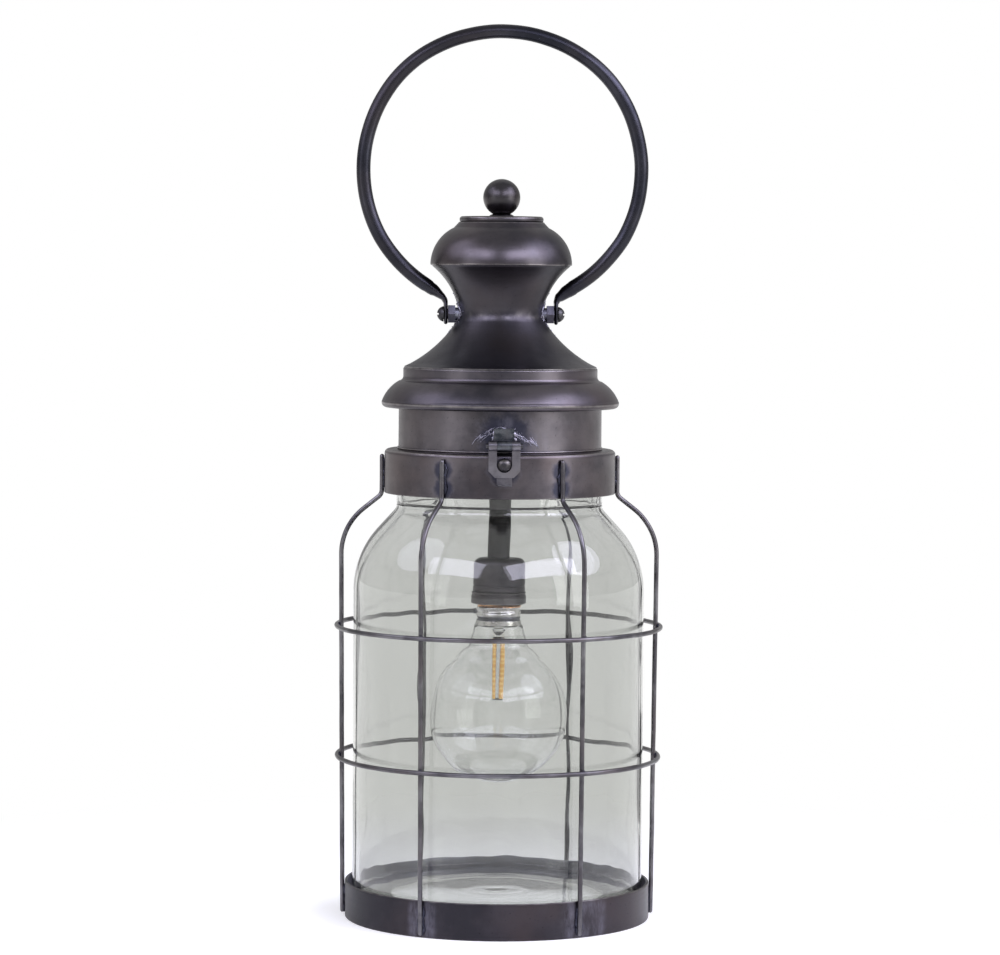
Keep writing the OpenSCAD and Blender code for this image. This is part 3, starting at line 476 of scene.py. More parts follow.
def sweep(path, radius, sides, closed=False, flat=None, wobble=0.0, up=(0, 0, 1)):
    """A rod along a path in mm. radius is a number or lists one for each point, and flat lists
    factors of (width, thickness) for each point."""
    count, points = len(path), []
    path, up = [Vector(p) for p in path], Vector(up)
    radii = radius if isinstance(radius, list) else [radius] * count
    flat = flat or [(1.0, 1.0)] * count
    for i, p in enumerate(path):
        before = path[(i - 1) % count] if closed or i else p
        after = path[(i + 1) % count] if closed or i < count - 1 else p
        way = (after - before).normalized()
        side = way.cross(up)
        side = side.normalized() if side.length > 0.05 else Vector((0, 1, 0))
        top = side.cross(way).normalized()
        wide, thick = flat[i]
        shift = Vector((lumps(p, 14.0, 1.1), lumps(p, 14.0, 5.2), lumps(p, 14.0, 9.7))) * wobble
        shift -= way * shift.dot(way)
        for k in range(sides):
            turn = 2 * math.pi * k / sides
            points.append(p + shift + (side * math.cos(turn) * wide + top * math.sin(turn) * thick) * radii[i])
    faces = wrap(count, sides)
    if not closed:
        faces[-sides:] = [tuple(range(sides)), tuple((count - 1) * sides + k for k in range(sides))]
    return [tuple(p) for p in points], faces, {"wear_and_sheen": [0.0] * len(points), "hot": [0.0] * len(points)}


def blob(center, size, rough, seed, rings=10, sides=16):
    """A lump of braze, size in mm along x, y and z."""
    points = [(center[0], center[1], center[2] - size[2])]
    for i in range(1, rings):
        tilt = math.pi * i / rings - math.pi / 2
        for k in range(sides):
            turn = 2 * math.pi * k / sides
            way = Vector((math.cos(turn) * math.cos(tilt), math.sin(turn) * math.cos(tilt), math.sin(tilt)))
            swell = 1 + rough * lumps(way, 0.45, seed)
            points.append(tuple(c + w * s * swell for c, w, s in zip(center, way, size)))
    points.append((center[0], center[1], center[2] + size[2]))
    faces = [(0, 1 + (k + 1) % sides, 1 + k) for k in range(sides)]
    for i in range(rings - 2):
        a, b = 1 + i * sides, 1 + (i + 1) * sides
        faces += [(a + k, a + (k + 1) % sides, b + (k + 1) % sides, b + k) for k in range(sides)]
    last = len(points) - 1
    faces += [(last, last - sides + k, last - sides + (k + 1) % sides) for k in range(sides)]
    return points, faces, {"wear_and_sheen": [0.35] * len(points), "hot": [0.7] * len(points)}


def together(*shapes):
    """Several shapes as one."""
    points, faces, marks = [], [], {"wear_and_sheen": [], "hot": []}
    for more, sides, values in shapes:
        faces += [tuple(k + len(points) for k in face) for face in sides]
        points += more
        for label in marks:
            marks[label] += values[label]
    return points, faces, marks


def turned(shape, degrees):
    """The shape turned about the lamp's axis."""
    spin = Matrix.Rotation(math.radians(degrees), 3, "Z")
    points, faces, marks = shape
    return [tuple(spin @ Vector(p)) for p in points], faces, marks


def upright_path():
    """Middle of a wire as (radius, height): up the side, in over the shoulder and up the neck band."""
    foot_r, foot_z = base_r + 0.05 + wire_r, 1.5
    belly_r, head_r = foot_r + 1.65, band_r + 0.05 + wire_r
    bend_r, nip_r, slope = 33.6, 5.0, 51.6
    nip_z = band_z + 1.2
    tan, sin, cos = (f(math.radians(slope)) for f in (math.tan, math.sin, math.cos))
    slope_top = (head_r + nip_r * (1 - cos), nip_z - nip_r * sin)
    slope_foot_r = belly_r - bend_r * (1 - cos)
    slope_foot = (slope_foot_r, slope_top[1] - (slope_foot_r - slope_top[0]) / tan)
    belly_z = slope_foot[1] - bend_r * sin
    line = refine([(foot_r, foot_z), (belly_r, belly_z)], 4.0, closed=False)[:-1]
    line += arc((belly_r - bend_r, belly_z), bend_r, 0, slope, 20)
    line += refine([slope_foot, slope_top], 3.0, closed=False)[1:-1]
    line += arc((head_r + nip_r, nip_z), nip_r, 180 + slope, 180, 10)
    line += refine([(head_r, nip_z), (head_r, seam_z - 1.8 - wire_r)], 2.5, closed=False)[1:]
    return line


def blunt(near, ends=1.4):
    """Radius of a wire at a place near mm from its end, which is rounded over the last ends mm."""
    return wire_r * (1.0 if near >= ends else math.sqrt(max(0.02, 1 - (1 - near / ends) ** 2)))


def distances(line):
    """How far each point lies from the line's start, along the line."""
    far = [0.0]
    for p, q in zip(line, line[1:]):
        far.append(far[-1] + math.dist(p, q))
    return far


wire_finish = steel("wire_patina", (0.075, 0.072, 0.080), (0.20, 0.195, 0.21), (0.13, 0.115, 0.12),
                    clouds=40.0, polish=0.34, ring=3.0, depth=0.7)
line = upright_path()
(foot_r, foot_z), (head_r, head_z), tip = line[0], line[-1], (0.0, 0.15, 0.45, 0.9)
line = [(foot_r, foot_z + d) for d in tip] + line[1:-1] + [(head_r, head_z - d) for d in tip[::-1]]
reached = distances(line)
wire_radii = [blunt(min(far, reached[-1] - far)) for far in reached]
for i, turn in enumerate(upright_turns):
    c, s = math.cos(math.radians(turn)), math.sin(math.radians(turn))
    path = [(r * c, r * s, z) for r, z in line]
    wire = sweep(path, wire_radii, 14, wobble=0.12, up=(-s, c, 0))
    fillets = [blob((base_r + 0.35, (-1) ** k * 0.35, z), (0.7, 2.1, 3.4), 0.3, i + 3.1 * k)
               for k, z in enumerate((5.0, 9.5, 14.5))]
    fillets += [blob((band_r + 0.35, (-1) ** k * 0.45, z), (0.7, 2.3, 3.6), 0.35, 5 * i + 2.3 * k)
                for k, z in enumerate((252.5, 257.5, 262.5))]
    make(f"upright_{i + 1}", together(wire, turned(together(*fillets), turn)), wire_finish, "cage",
         [f"upright_wire_{i + 1}"], sharp=60)

# ---- Hoops: two rings of the same wire round the uprights, butt-jointed at the rear and
# brazed to each upright.

def hoop(name, node, height, middle):
    """A ring of wire at a height, with its welds. middle is the radius of the wire's middle."""
    path = turn_points(240, lambda turn: [(middle, height)])
    ring = sweep(path, wire_r, 14, closed=True, wobble=0.14)
    welds = [turned(blob((middle - wire_r - 0.1, 0.3, height), (0.9, 1.5, 1.7), 0.3, turn), turn)
             for turn in upright_turns]
    joint = turned(blob((middle, 0, height), (1.62, 1.7, 1.62), 0.12, 4.0), 97)
    make(name, together(ring, *welds, joint), wire_finish, "cage", [node], sharp=60)


for name, node, height in (("hoop_low", "hoop_lower", 93.7), ("hoop_high", "hoop_upper", 169.2)):
    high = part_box(node)[1]
    hoop(name, node, height, high.x / mm - wire_r)

# ---- Neck band: a spun steel band with a rounded top edge that turns in to a shelf over the
# jar's mouth. It is 133.4 mm across, and the uprights and the catch studs are brazed to it.

sheet, shelf_r, top_round = 1.2, 56.4, 2.5
round_c = (band_r - top_round, seam_z - top_round)
neck_finish = steel("neck_patina", (0.058, 0.054, 0.062), (0.130, 0.117, 0.129), (0.142, 0.112, 0.112),
                    clouds=20.0, polish=0.37, ring=1.6, depth=0.35)
braze_heats = [(turn, z, 9) for turn in upright_turns for z in (252, 262)]
make("neck_band_spun",
     lathe([(band_r, band_z + 0.3)] + arc(round_c, top_round, 0, 90, 10)
           + [(shelf_r + 0.3, seam_z), (shelf_r, seam_z - 0.3), (shelf_r, seam_z - sheet)]
           + arc(round_c, top_round - sheet, 90, 0, 8) + [(band_r - sheet, band_z), (band_r - 0.3, band_z)],
           240, dent=0.16, dent_size=34, step=1.2,
           edges=[(band_r - 0.7, seam_z - 0.7, 1.8), (band_r, band_z, 0.9)],
           heats=braze_heats + [(-90, 262, 12), (90, 262, 12)]),
     neck_finish, "cage", ["neck_band"])

# ---- Sealing ring: a flat ring of black rubber between the jar's lip and the shelf. The rubber
# is matt and has a grey bloom.

black_rubber, tree, _ = new_material("black_rubber")
bloom = cloud(tree, spot_in(tree), 240.0, 5)
shade = blend_colors(tree, ease(tree, bloom, 0.35, 0.7), (0.02, 0.02, 0.021, 1), (0.044, 0.044, 0.0462, 1))
cover(tree, shade, ease(tree, bloom, 0.3, 0.7, 0.55, 0.8), bloom, 0.2)
finish_node(black_rubber, "rim_seal")

# ---- Jar: a blown and moulded glass jar, 168 mm across, with a heavy bottom, a round shoulder
# and a beaded lip. Its wall is uneven, which bends what shows behind it.

jar_z, jar_r, jar_neck_r, jar_top, glass_t = 4.1, 84.1, 59.5, 268.9, 3.0


def clear_glass(name, tint, wave, wave_scale):
    """Clear soda glass that lets the lamps through. wave bends its surface a little."""
    made, tree, surface = new_material(name)
    surface.inputs["Transmission Weight"].default_value = 1.0
    surface.inputs["IOR"].default_value = 1.5
    flow = cloud(tree, spot_in(tree, (1.0, 1.0, 0.45)), wave_scale, 3)
    paler = [min(1.0, c * 1.03) for c in tint]
    shade = blend_colors(tree, ease(tree, flow, 0.35, 0.65), (*tint, 1), (*paler, 1))
    cover(tree, shade, 0.0, flow, wave, 0.001)
    rays = add(tree, "ShaderNodeLightPath")
    through = add(tree, "ShaderNodeBsdfTransparent")
    through.inputs["Color"].default_value = (0.93, 0.94, 0.94, 1)
    pick = add(tree, "ShaderNodeMixShader")
    tree.links.new(rays.outputs["Is Shadow Ray"], pick.inputs[0])
    tree.links.new(surface.outputs[0], pick.inputs[1])
    tree.links.new(through.outputs[0], pick.inputs[2])
    tree.links.new(pick.outputs[0], tree.nodes["Material Output"].inputs["Surface"])
    return made


def jar_profile():
    """Outside and inside of the jar as (radius, height), each from the axis or the lip on."""
    shoulder_r, turn, fillet_r, lip_h, heel_r = 52.8, 42.5, 5.0, 9.0, 14
    neck_c = jar_neck_r + fillet_r
    rest = 90 - turn
    line_top_r = neck_c - fillet_r * math.cos(math.radians(rest))
    line_foot_r = jar_r - shoulder_r * (1 - math.cos(math.radians(turn)))
    neck_z = band_z - 7
    # A straight cone joins the shoulder's arc to the fillet at the neck
    line_top_z = neck_z - fillet_r * math.sin(math.radians(rest))
    line_foot_z = line_top_z - (line_foot_r - line_top_r) / math.tan(math.radians(turn))
    shoulder = (jar_r - shoulder_r, line_foot_z - shoulder_r * math.sin(math.radians(turn)))
    heel = (jar_r - heel_r, jar_z + heel_r)
    floor_z, heel_in = jar_z + 11.5, 3.0
    heel_inside = (jar_r - glass_t - heel_in, floor_z + heel_in)
    lip_r = jar_neck_r + 3
    groove_z = neck_z + 0.1
    outside = ([(0.0, jar_z + 0.8), (20.0, jar_z + 0.7), (48.0, jar_z), (58.0, jar_z)]
               + arc(heel, heel_r, -90, 0, 16) + arc(shoulder, shoulder_r, 0, turn, 30)
               + arc((neck_c, neck_z), fillet_r, 180 + rest, 180, 10)
               + [(jar_neck_r, groove_z), (jar_neck_r - 0.5, groove_z + 0.5), (jar_neck_r, groove_z + 1.0)]
               + arc((jar_neck_r + 1.2, jar_top - lip_h - 1), 1.2, 180, 100, 3)
               + arc((lip_r - 2, jar_top - lip_h + 3.2), 2, -70, 0, 6)
               + arc((lip_r - 2, jar_top - 2), 2, 0, 90, 8))
    inside = (arc((jar_neck_r - glass_t + 2.6, jar_top - 1.4), 1.4, 90, 180, 6)
              + [(jar_neck_r - glass_t, jar_top - lip_h)]
              + arc((neck_c, neck_z), fillet_r + glass_t, 180, 180 + rest, 12)
              + arc(shoulder, shoulder_r - glass_t, turn, 0, 30) + arc(heel_inside, heel_in, 0, -90, 10))
    # The floor has faint rings and a low point of glass in its middle
    inside += [(r, floor_z + 0.015 * math.sin(r * 0.7) + 0.3 * max(0.0, 1 - r / 16) ** 2)
               for r in range(76, -1, -2)]
    return outside, inside


def uneven(turn, r, z):
    """How far the glass lies out of round: slow waves with a finer ripple on them."""
    if r < 30:
        return 0.0
    spot = (math.cos(turn) * 80, math.sin(turn) * 80, z * 0.35)
    return 0.16 * lumps(spot, 34.0, 2.0) + 0.10 * lumps(spot, 12.0, 8.0)


def jar_side(turn):
    """The jar's line at an angle. Its inside has other waves than its outside, and stronger ones."""
    return ([(r + uneven(turn, r, z), z) for r, z in outer_line]
            + [(r + 1.6 * uneven(turn + 2.4, r, z), z) for r, z in inner_line])


outside, inside = jar_profile()
outer_line = refine(outside, 2.0, closed=False)[1:]
inner_line = refine(inside, 2.0, closed=False)[:-1]
around, count = 288, len(outer_line + inner_line)
points, faces = turn_points(around, jar_side), wrap(around, count, closed=False)
low_hub, high_hub = len(points), len(points) + 1
points += [(0, 0, outside[0][1]), (0, 0, inside[-1][1])]
for i in range(around):
    faces.append((low_hub, i * count, ((i + 1) % around) * count))
    faces.append((high_hub, i * count + count - 1, ((i + 1) % around) * count + count - 1))
jar_finish = clear_glass("jar_glass", (0.70, 0.708, 0.692), wave=0.05, wave_scale=38.0)
make("jar_blown", (points, faces, {}), jar_finish, "cage",
     ["jar_base", "jar_wall", "jar_shoulder", "jar_neck"], sharp=80)

# ---- Catch studs: dome-headed studs riveted into the band, front and rear. The hasps drop over
# them, and rub their heads.

stud_finish = plated("rubbed_steel", (0.150, 0.140, 0.135), (0.055, 0.052, 0.058), 0.34)
stud_z, neck_r, head_r, head_foot = 265.8, 2.7, 3.9, band_r + 1.7


def spin_about_y(profile, at, front):
    """Turns (radius, distance out from the axis) about a level line through x = 0, z = at."""
    way, around, count = -1 if front else 1, 40, len(profile)
    points = [(x, way * out, at + y) for x, y, out in turn_points(around, lambda turn: profile)]
    faces = wrap(around, count, closed=False)
    faces += [tuple(i * count for i in range(around)), tuple(i * count + count - 1 for i in range(around))]
    return points, faces, {}


for front, where in ((True, "front"), (False, "rear")):
    low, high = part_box(f"catch_stud_{where}")
    out = abs(low.y if front else high.y) / mm
    dome = [(neck_r, band_r - 0.05), (neck_r, head_foot - 0.35), (head_r, head_foot - 0.3),
            (head_r + 0.05, head_foot)]
    dome += [(r, head_foot + (out - head_foot) * rise / head_r)
             for r, rise in arc((0, 0), head_r, 12, 90, 6)[:-1]] + [(0.25, out)]
    make(f"stud_{where}", spin_about_y(dome, stud_z, front), stud_finish, "cage", [f"catch_stud_{where}"],
         sharp=50)

# ---- Collar: the hood's lowest ring, 117 mm across, with a bead at its foot and a step that
# drops into the jar's mouth. It is spun from 1.2 mm steel, and a hole at the rear takes the cord.

def bore(piece, at, way, radius, length=12.0):
    """Cuts a round hole through a piece, at a point in mm along a way."""
    way = Vector(way).normalized()
    sides = 48
    ring = arc((0, 0), radius, 0, 360, sides)[:-1]
    frame_of = Matrix.Translation(Vector(at)) @ way.to_track_quat("Z", "Y").to_matrix().to_4x4()
    points = [frame_of @ Vector((x, y, z)) * mm for z in (-length / 2, length / 2) for x, y in ring]
    faces = [tuple(range(sides - 1, -1, -1)), tuple(range(sides, 2 * sides))]
    faces += [(k, (k + 1) % sides, sides + (k + 1) % sides, sides + k) for k in range(sides)]
    mesh = bpy.data.meshes.new("cutter")
    mesh.from_pydata(points, [], faces)
    cutter = bpy.data.objects.new("cutter", mesh)
    bpy.context.collection.objects.link(cutter)
    cut = piece.modifiers.new("bore", "BOOLEAN")
    cut.operation, cut.object, cut.solver = "DIFFERENCE", cutter, "EXACT"
    bpy.context.view_layer.update()
    result = bpy.data.meshes.new_from_object(piece.evaluated_get(bpy.context.evaluated_depsgraph_get()))
    piece.modifiers.remove(cut)
    piece.data = result
    result.set_sharp_from_angle(angle=math.radians(35))
    bpy.data.objects.remove(cutter)


collar_r, collar_top, step_r, step_z = 58.7, 296.4, 56.1, 264.9
collar_finish = steel("collar_patina", (0.064, 0.060, 0.068), (0.145, 0.132, 0.145), (0.155, 0.125, 0.128),
                      clouds=18.0, polish=0.37, ring=1.6, depth=0.35)
collar = make("collar_spun",
              lathe([(step_r, step_z), (step_r, seam_z), (collar_r + 0.3, seam_z)]
                    + arc((collar_r, seam_z + 0.75), 0.7, -60, 60, 6)
                    + [(collar_r, seam_z + 1.5), (collar_r, collar_top), (collar_r - sheet, collar_top),
                       (collar_r - sheet, seam_z + sheet), (step_r - sheet, seam_z + sheet),
                       (step_r - sheet, step_z), (step_r - 0.6, step_z - 0.3)],
                    240, dent=0.14, dent_size=30, step=1.2, edges=[(59.4, 272.3, 1.1), (58.7, 296, 0.8)],
                    heats=[(-89, 281, 22), (91, 281, 22)],
                    blooms=[(-89, 289, 6), (-74, 274.5, 13), (106, 274.5, 13)]),
              collar_finish, "hood", ["collar"])
inlet_turn, inlet_z, inlet_r = math.radians(55), 285, 4.62
inlet_way = Vector((math.cos(inlet_turn), math.sin(inlet_turn), 0))
bore(collar, inlet_way * (collar_r - sheet / 2) + Vector((0, 0, inlet_z)), inlet_way, inlet_r)

# ---- Grommet: a ring of the same black rubber in the hole at the collar's rear, which the cord
# would run through.
finish_node(black_rubber, "cord_grommet")

# ---- Eave: the spun step and roll under the waist, 137 mm across at its rolled edge. Its edge
# turns in under the roll to the collar's top.

eave_top, eave_under, lap_r, curl_c, curl_r = 318.6, 317.4, 50.6, (65.8, 298.4), 2.8
cove_top, cove_foot, curl_top = (56.1, 313.6), (58.6, 310.9), (68.396, 299.449)
eave_outer = (arc((55.3, eave_top - 0.8), 0.8, 90, 0, 6) + bow(cove_top, cove_foot, -0.7, count=8)
              + bow(cove_foot, curl_top, 1.3))
eave_inner = bow(cove_top, cove_foot, -0.7, -sheet, 8) + bow(cove_foot, curl_top, 1.3, -sheet)
eave_finish = steel("eave_patina", (0.052, 0.050, 0.060), (0.122, 0.110, 0.124), (0.128, 0.100, 0.102),
                    clouds=16.0, polish=0.36, depth=0.4)
make("eave_spun",
     lathe([(lap_r, eave_top)] + eave_outer + arc(curl_c, curl_r, 22, -90, 16)
           + [(collar_r - sheet, collar_top), (collar_r - sheet, collar_top + sheet)]
           + arc(curl_c, curl_r - sheet, -30, 22, 5) + eave_inner[::-1]
           + [(54.9, eave_under), (lap_r, eave_under)],
           240, dent=0.16, dent_size=36, step=1.2, edges=[(68.3, 298.2, 1.6), (56.1, 318.4, 1.0)]),
     eave_finish, "hood", ["eave"])

# ---- Waist: the hood's trumpet, spun in one piece and seamed to the eave's step. Its steel has
# gone blue-black. It is paler where it is narrowest, rubbing and a painted highlight together, and
# the nuts at the bail are brazed to it.

waist_line = [((54.6, 319.6), (25.4, 345.6), 2.6), ((25.4, 345.6), (24.9, 355.0), 1.0),
              ((24.9, 355.0), (39.6, 377.0), 1.95)]
waist_top = 377.6
waist_outer = [p for part in waist_line for p in bow(*part, count=14)[1:]]
waist_inner = [p for part in waist_line for p in bow(*part, sheet, 14)[1:]
               if eave_top + sheet < p[1] < waist_top - 0.1]
waist_finish = steel("waist_patina", (0.033, 0.033, 0.043), (0.070, 0.068, 0.084), (0.078, 0.066, 0.068),
                     clouds=16.0, depth=0.4)
make("waist_spun",
     lathe([(lap_r, eave_top), (55.6, eave_top), (55.6, 319.2), (54.9, 319.6)] + waist_outer
           + [(40.0, waist_top), (38.4, waist_top)] + waist_inner[::-1] + [(lap_r, eave_top + sheet)],
           # The second of these, where the waist is narrowest, is a painted highlight as well as rubbing
           240, dent=0.16, dent_size=34, step=1.2, edges=[(55.6, 319, 1.1), (24.9, 348.8, 8.0, 0.6)],
           blooms=[(turn, z, 10) for turn in (0, 180) for z in (344, 352)]),
     waist_finish, "hood", ["waist"])

# ---- Crown: a spun cap with a sharp lower edge, seamed to the waist. A hole in its flat top
# takes the finial's stud.

crown_top, crown_under, stud_hole_r = 402.6, 401.4, 3.3
crown_low, crown_high = (40.9, waist_top + sheet), (27.4, 399.3)
crown_finish = steel("crown_patina", (0.050, 0.048, 0.057), (0.108, 0.099, 0.111), (0.125, 0.100, 0.100),
                     clouds=17.0, polish=0.34, depth=0.4)
make("crown_spun",
     lathe([(36.5, waist_top), (40.5, waist_top), (40.9, waist_top + 0.4)]
           + bow(crown_low, crown_high, -3.4, count=18)
           + [(25.4, crown_under), (24.4, crown_top), (stud_hole_r, crown_top), (stud_hole_r, crown_under),
              (23.8, crown_under)]
           + bow(crown_low, crown_high, -3.4, sheet, 18)[::-1] + [(36.5, waist_top + sheet)],
           224, dent=0.13, dent_size=28, step=1.2, edges=[(40.9, 378.1, 1.3), (24.9, 402.2, 0.9)]),
     crown_finish, "hood", ["crown"])

# ---- Top disc: a turned steel washer with a rounded edge, in the crown's finish. The ball's
# stud clamps it to the crown.

disc_top = 405.8
make("top_disc_turned",
     lathe([(stud_hole_r, crown_top)] + arc((23.2, crown_top + 1), 1.0, -90, 0, 5)
           + arc((22.6, disc_top - 1.6), 1.6, 0, 90, 8) + [(stud_hole_r, disc_top)],
           160, dent=0.05, dent_size=20, step=1.0, edges=[(24.0, 405.0, 1.2)]),
     crown_finish, "hood", ["top_disc"])

# ---- Finial ball: a steel ball of 21 mm with a turned foot, screwed on a stud that clamps the
# crown and disc from inside with a nut. Stud and nut are zinc plated.

ball_z, ball_r, tapped_r, foot_turn = 416.7, 10.7, 3.05, -62
ball_finish = steel("ball_blueing", (0.045, 0.044, 0.050), (0.10, 0.096, 0.108), (0.10, 0.085, 0.082),
                    clouds=34.0, polish=0.30, ring=0.8, depth=0.6)
make("finial_ball_turned",
     lathe([(tapped_r, disc_top), (7.2, disc_top), (6.8, 406.5), (5.6, 407.1)]
           + arc((0, ball_z), ball_r, foot_turn, 90, 40) + [(0.02, 414.9), (tapped_r, 414.8)],
           96, dent=0.03, dent_size=9, step=0.9, edges=[(7.2, 405.9, 0.7)]),
     ball_finish, "hood", ["finial_ball"])
finish_node(zinc, "finial_stud", "finial_nut")

# ---- Pivot nuts and screws: an M6 nut is brazed to each side of the waist with lilac spatter
# round it, and a slotted dome-headed screw runs through the bail's eye into it.

nut_finish = steel("nut_blueing", (0.17, 0.178, 0.225), (0.34, 0.35, 0.42), (0.28, 0.26, 0.32),
                   clouds=60.0, polish=0.42, ring=2.5, depth=0.3)
finish_node(nut_finish, "pivot_nut_left", "pivot_nut_right")
screw_finish = plated("screw_steel", (0.085, 0.083, 0.090), (0.050, 0.049, 0.055), 0.36)
finish_node(screw_finish, "pivot_screw_left", "pivot_screw_right")
pivot_z = 349.5
lilac = steel("braze_lilac", (0.16, 0.16, 0.205), (0.44, 0.43, 0.52), (0.30, 0.275, 0.33),
              clouds=300.0, ring=2.0, depth=0.6)
drift = random.Random(11)


def spatter(count, place, low, high):
    """Small drops of braze. place gives a random spot on the surface, and low and high their size."""
    drops = []
    for _ in range(count):
        at, size = place(), [drift.uniform(low, high) for _ in range(3)]
        drops.append(blob(at, size, 0.4, drift.uniform(0, 50), 5, 8))
    return together(*drops)


def plain(shape):
    """The shape without its marks, so that it takes the finish's own colour all over."""
    return shape[0], shape[1], {}


def waist_radius(z):
    """Radius of the waist's outside at a height."""
    for (r, low), (next_r, high) in zip(waist_outer, waist_outer[1:]):
        if low <= z <= high:
            return r + (next_r - r) * (z - low) / (high - low)
    return waist_outer[-1][0]


for side, where in ((1, "right"), (-1, "left")):
    def beside_nut():
        """A spot on the waist near the nut, the likelier the nearer."""
        turn, far = drift.uniform(0, 2 * math.pi), drift.triangular(4.2, 15.0, 5.0)
        y, z = 0.7 * far * math.cos(turn), pivot_z + 0.4 + far * math.sin(turn)
        return side * math.sqrt(waist_radius(z) ** 2 - y ** 2), y, z

    # A thin collar of braze round the nut's foot, uneven along its edge
    ring, around = [], 40
    for k in range(around):
        turn = 2 * math.pi * k / around
        far = 5.4 + 0.7 * math.sin(turn) + 0.5 * lumps((math.cos(turn) * 9, math.sin(turn) * 9, side * 7), 5.0)
        y, z = far * math.cos(turn), pivot_z + far * math.sin(turn)
        ring.append((side * (math.sqrt(waist_radius(z) ** 2 - y ** 2) + 0.1), y, z))
    rim_radii = [0.62 + 0.25 * math.sin(k / (around - 1) * 37) for k in range(around)]
    rim = sweep(ring, rim_radii, 10, closed=True, up=(1, 0, 0))
    braze = together(spatter(120, beside_nut, 0.15, 0.55), rim)
    make(f"pivot_braze_{where}", plain(braze), lilac, "hood", sharp=60)

# ---- Bail: an 8 mm steel rod bent to a ring, blued. Towards each end it is hammered ever
# flatter, then bent down past the pivot and drilled for the screw.

bail_finish = steel("bail_blueing", (0.025, 0.026, 0.034), (0.050, 0.050, 0.063), (0.052, 0.046, 0.050),
                    clouds=26.0, polish=0.34, ring=3.0, depth=0.25)
ring_z, ring_r, eye_x, eye_foot, bend_r = 432.3, 79.75, 31.85, 343.6, 6.1
# Right half of the rod's line: up the eye, round a bend and along a slope to the ring
leg = [(eye_x, eye_foot + d) for d in (0.0, 0.25, 0.7, 1.4, 2.4)]
leg += [(eye_x, z) for z in (346.9, 348.5, 350.5, 352.4, 354.0)]
leg += arc((eye_x + bend_r, 354.9), bend_r, 176, 124, 10)
leg += [(36.1 + 5.76 * t, 361.5 + 3.57 * t) for t in (0.2, 0.5, 0.8)]
# The ring is drawn in a little towards the bend at its foot, and swells at the shoulder
low_turn, steps = -58, 84
for i in range(steps + 1):
    turn = low_turn + (90 - low_turn) * i / steps
    r = ring_r - 0.8 * max(0.0, (-30 - turn) / 28) ** 0.8 + 0.8 * math.exp(-((turn - 46) / 22) ** 2)
    leg.append((r * math.cos(math.radians(turn)), ring_z + r * math.sin(math.radians(turn))))


def between(value, table):
    """Value read from a table of (place, value) pairs, eased from one to the next."""
    for (a, low), (b, high) in zip(table, table[1:]):
        if value <= b:
            share = (value - a) / (b - a)
            return low + (high - low) * share * share * (3 - 2 * share)
    return table[-1][1]


# Half thickness and half width of the rod by the distance in mm from the eye's tip
thick_left = ((0, 0.45), (0.5, 1.15), (11, 1.25), (15, 1.7), (17.2, 2.1), (19.8, 2.75), (23, 3.5), (29, 4.0),
              (60, 4.1), (110, 4.05))
thick_right = ((0, 0.45), (0.5, 1.15), (11, 1.25), (13.5, 1.8), (16.5, 2.9), (20, 3.7), (25, 4.1), (110, 4.05))
widths = ((0, 2.4), (1.2, 4.2), (4.0, 5.9), (9.5, 5.9), (14, 4.7), (18, 4.5), (34, 4.5), (60, 4.0))
# The right half is bent out a little further, as a hand-bent ring is
line = [(x + 0.8 * max(0.0, min(1.0, (x - 42) / 30)), 0.0, z) for x, z in leg]
line += [(-x, 0.0, z) for x, z in leg[-2::-1]]
reached = distances(leg)
sizes = [(between(far, thick_right), between(far, widths)) for far in reached]
sizes += [(between(far, thick_left), between(far, widths)) for far in reached[-2::-1]]
rod = sweep(line, 1.0, 32, up=(0, 1, 0), wobble=0.10, flat=sizes)
bail = make("bail_bent", rod, bail_finish, "bail", ["bail"], sharp=50)
eye_bore = 3.05
for side in (1, -1):
    bore(bail, (eye_x * side, 0, pivot_z), (1, 0, 0), eye_bore, 6.0)

# ---- Hasp brackets and pins: a steel lug brazed to the collar, front and rear, with the pin
# that the hasp swings on. The pins are plain steel and stand out 1.5 mm at each end.

lug_finish = steel("lug_blueing", (0.050, 0.056, 0.066), (0.17, 0.18, 0.20), (0.11, 0.108, 0.12),
                   clouds=220.0, polish=0.36, ring=2.0, depth=0.6)
finish_node(lug_finish, "hasp_bracket_front", "hasp_bracket_rear")
finish_node(screw_finish, "hasp_pin_front", "hasp_pin_rear")
# Line of the flux and braze over the lug, as (x, height)
crust_line = [(-15.5, 279.0), (-11.5, 281.9), (-7.0, 284.1), (-0.2, 285.9), (4.9, 284.4), (8.8, 281.4),
              (14.5, 278.6), (17.9, 276.8)]
under_lug = [(-5.2, 283.0), (-2.6, 284.6), (0.2, 285.2), (3.0, 284.4), (5.4, 282.6), (-5.6, 280.2),
             (6.0, 279.6)]


def on_collar(x, lift=0.0):
    """The y of the collar's front at an x, in mm."""
    return -math.sqrt(collar_r ** 2 - x ** 2) - lift


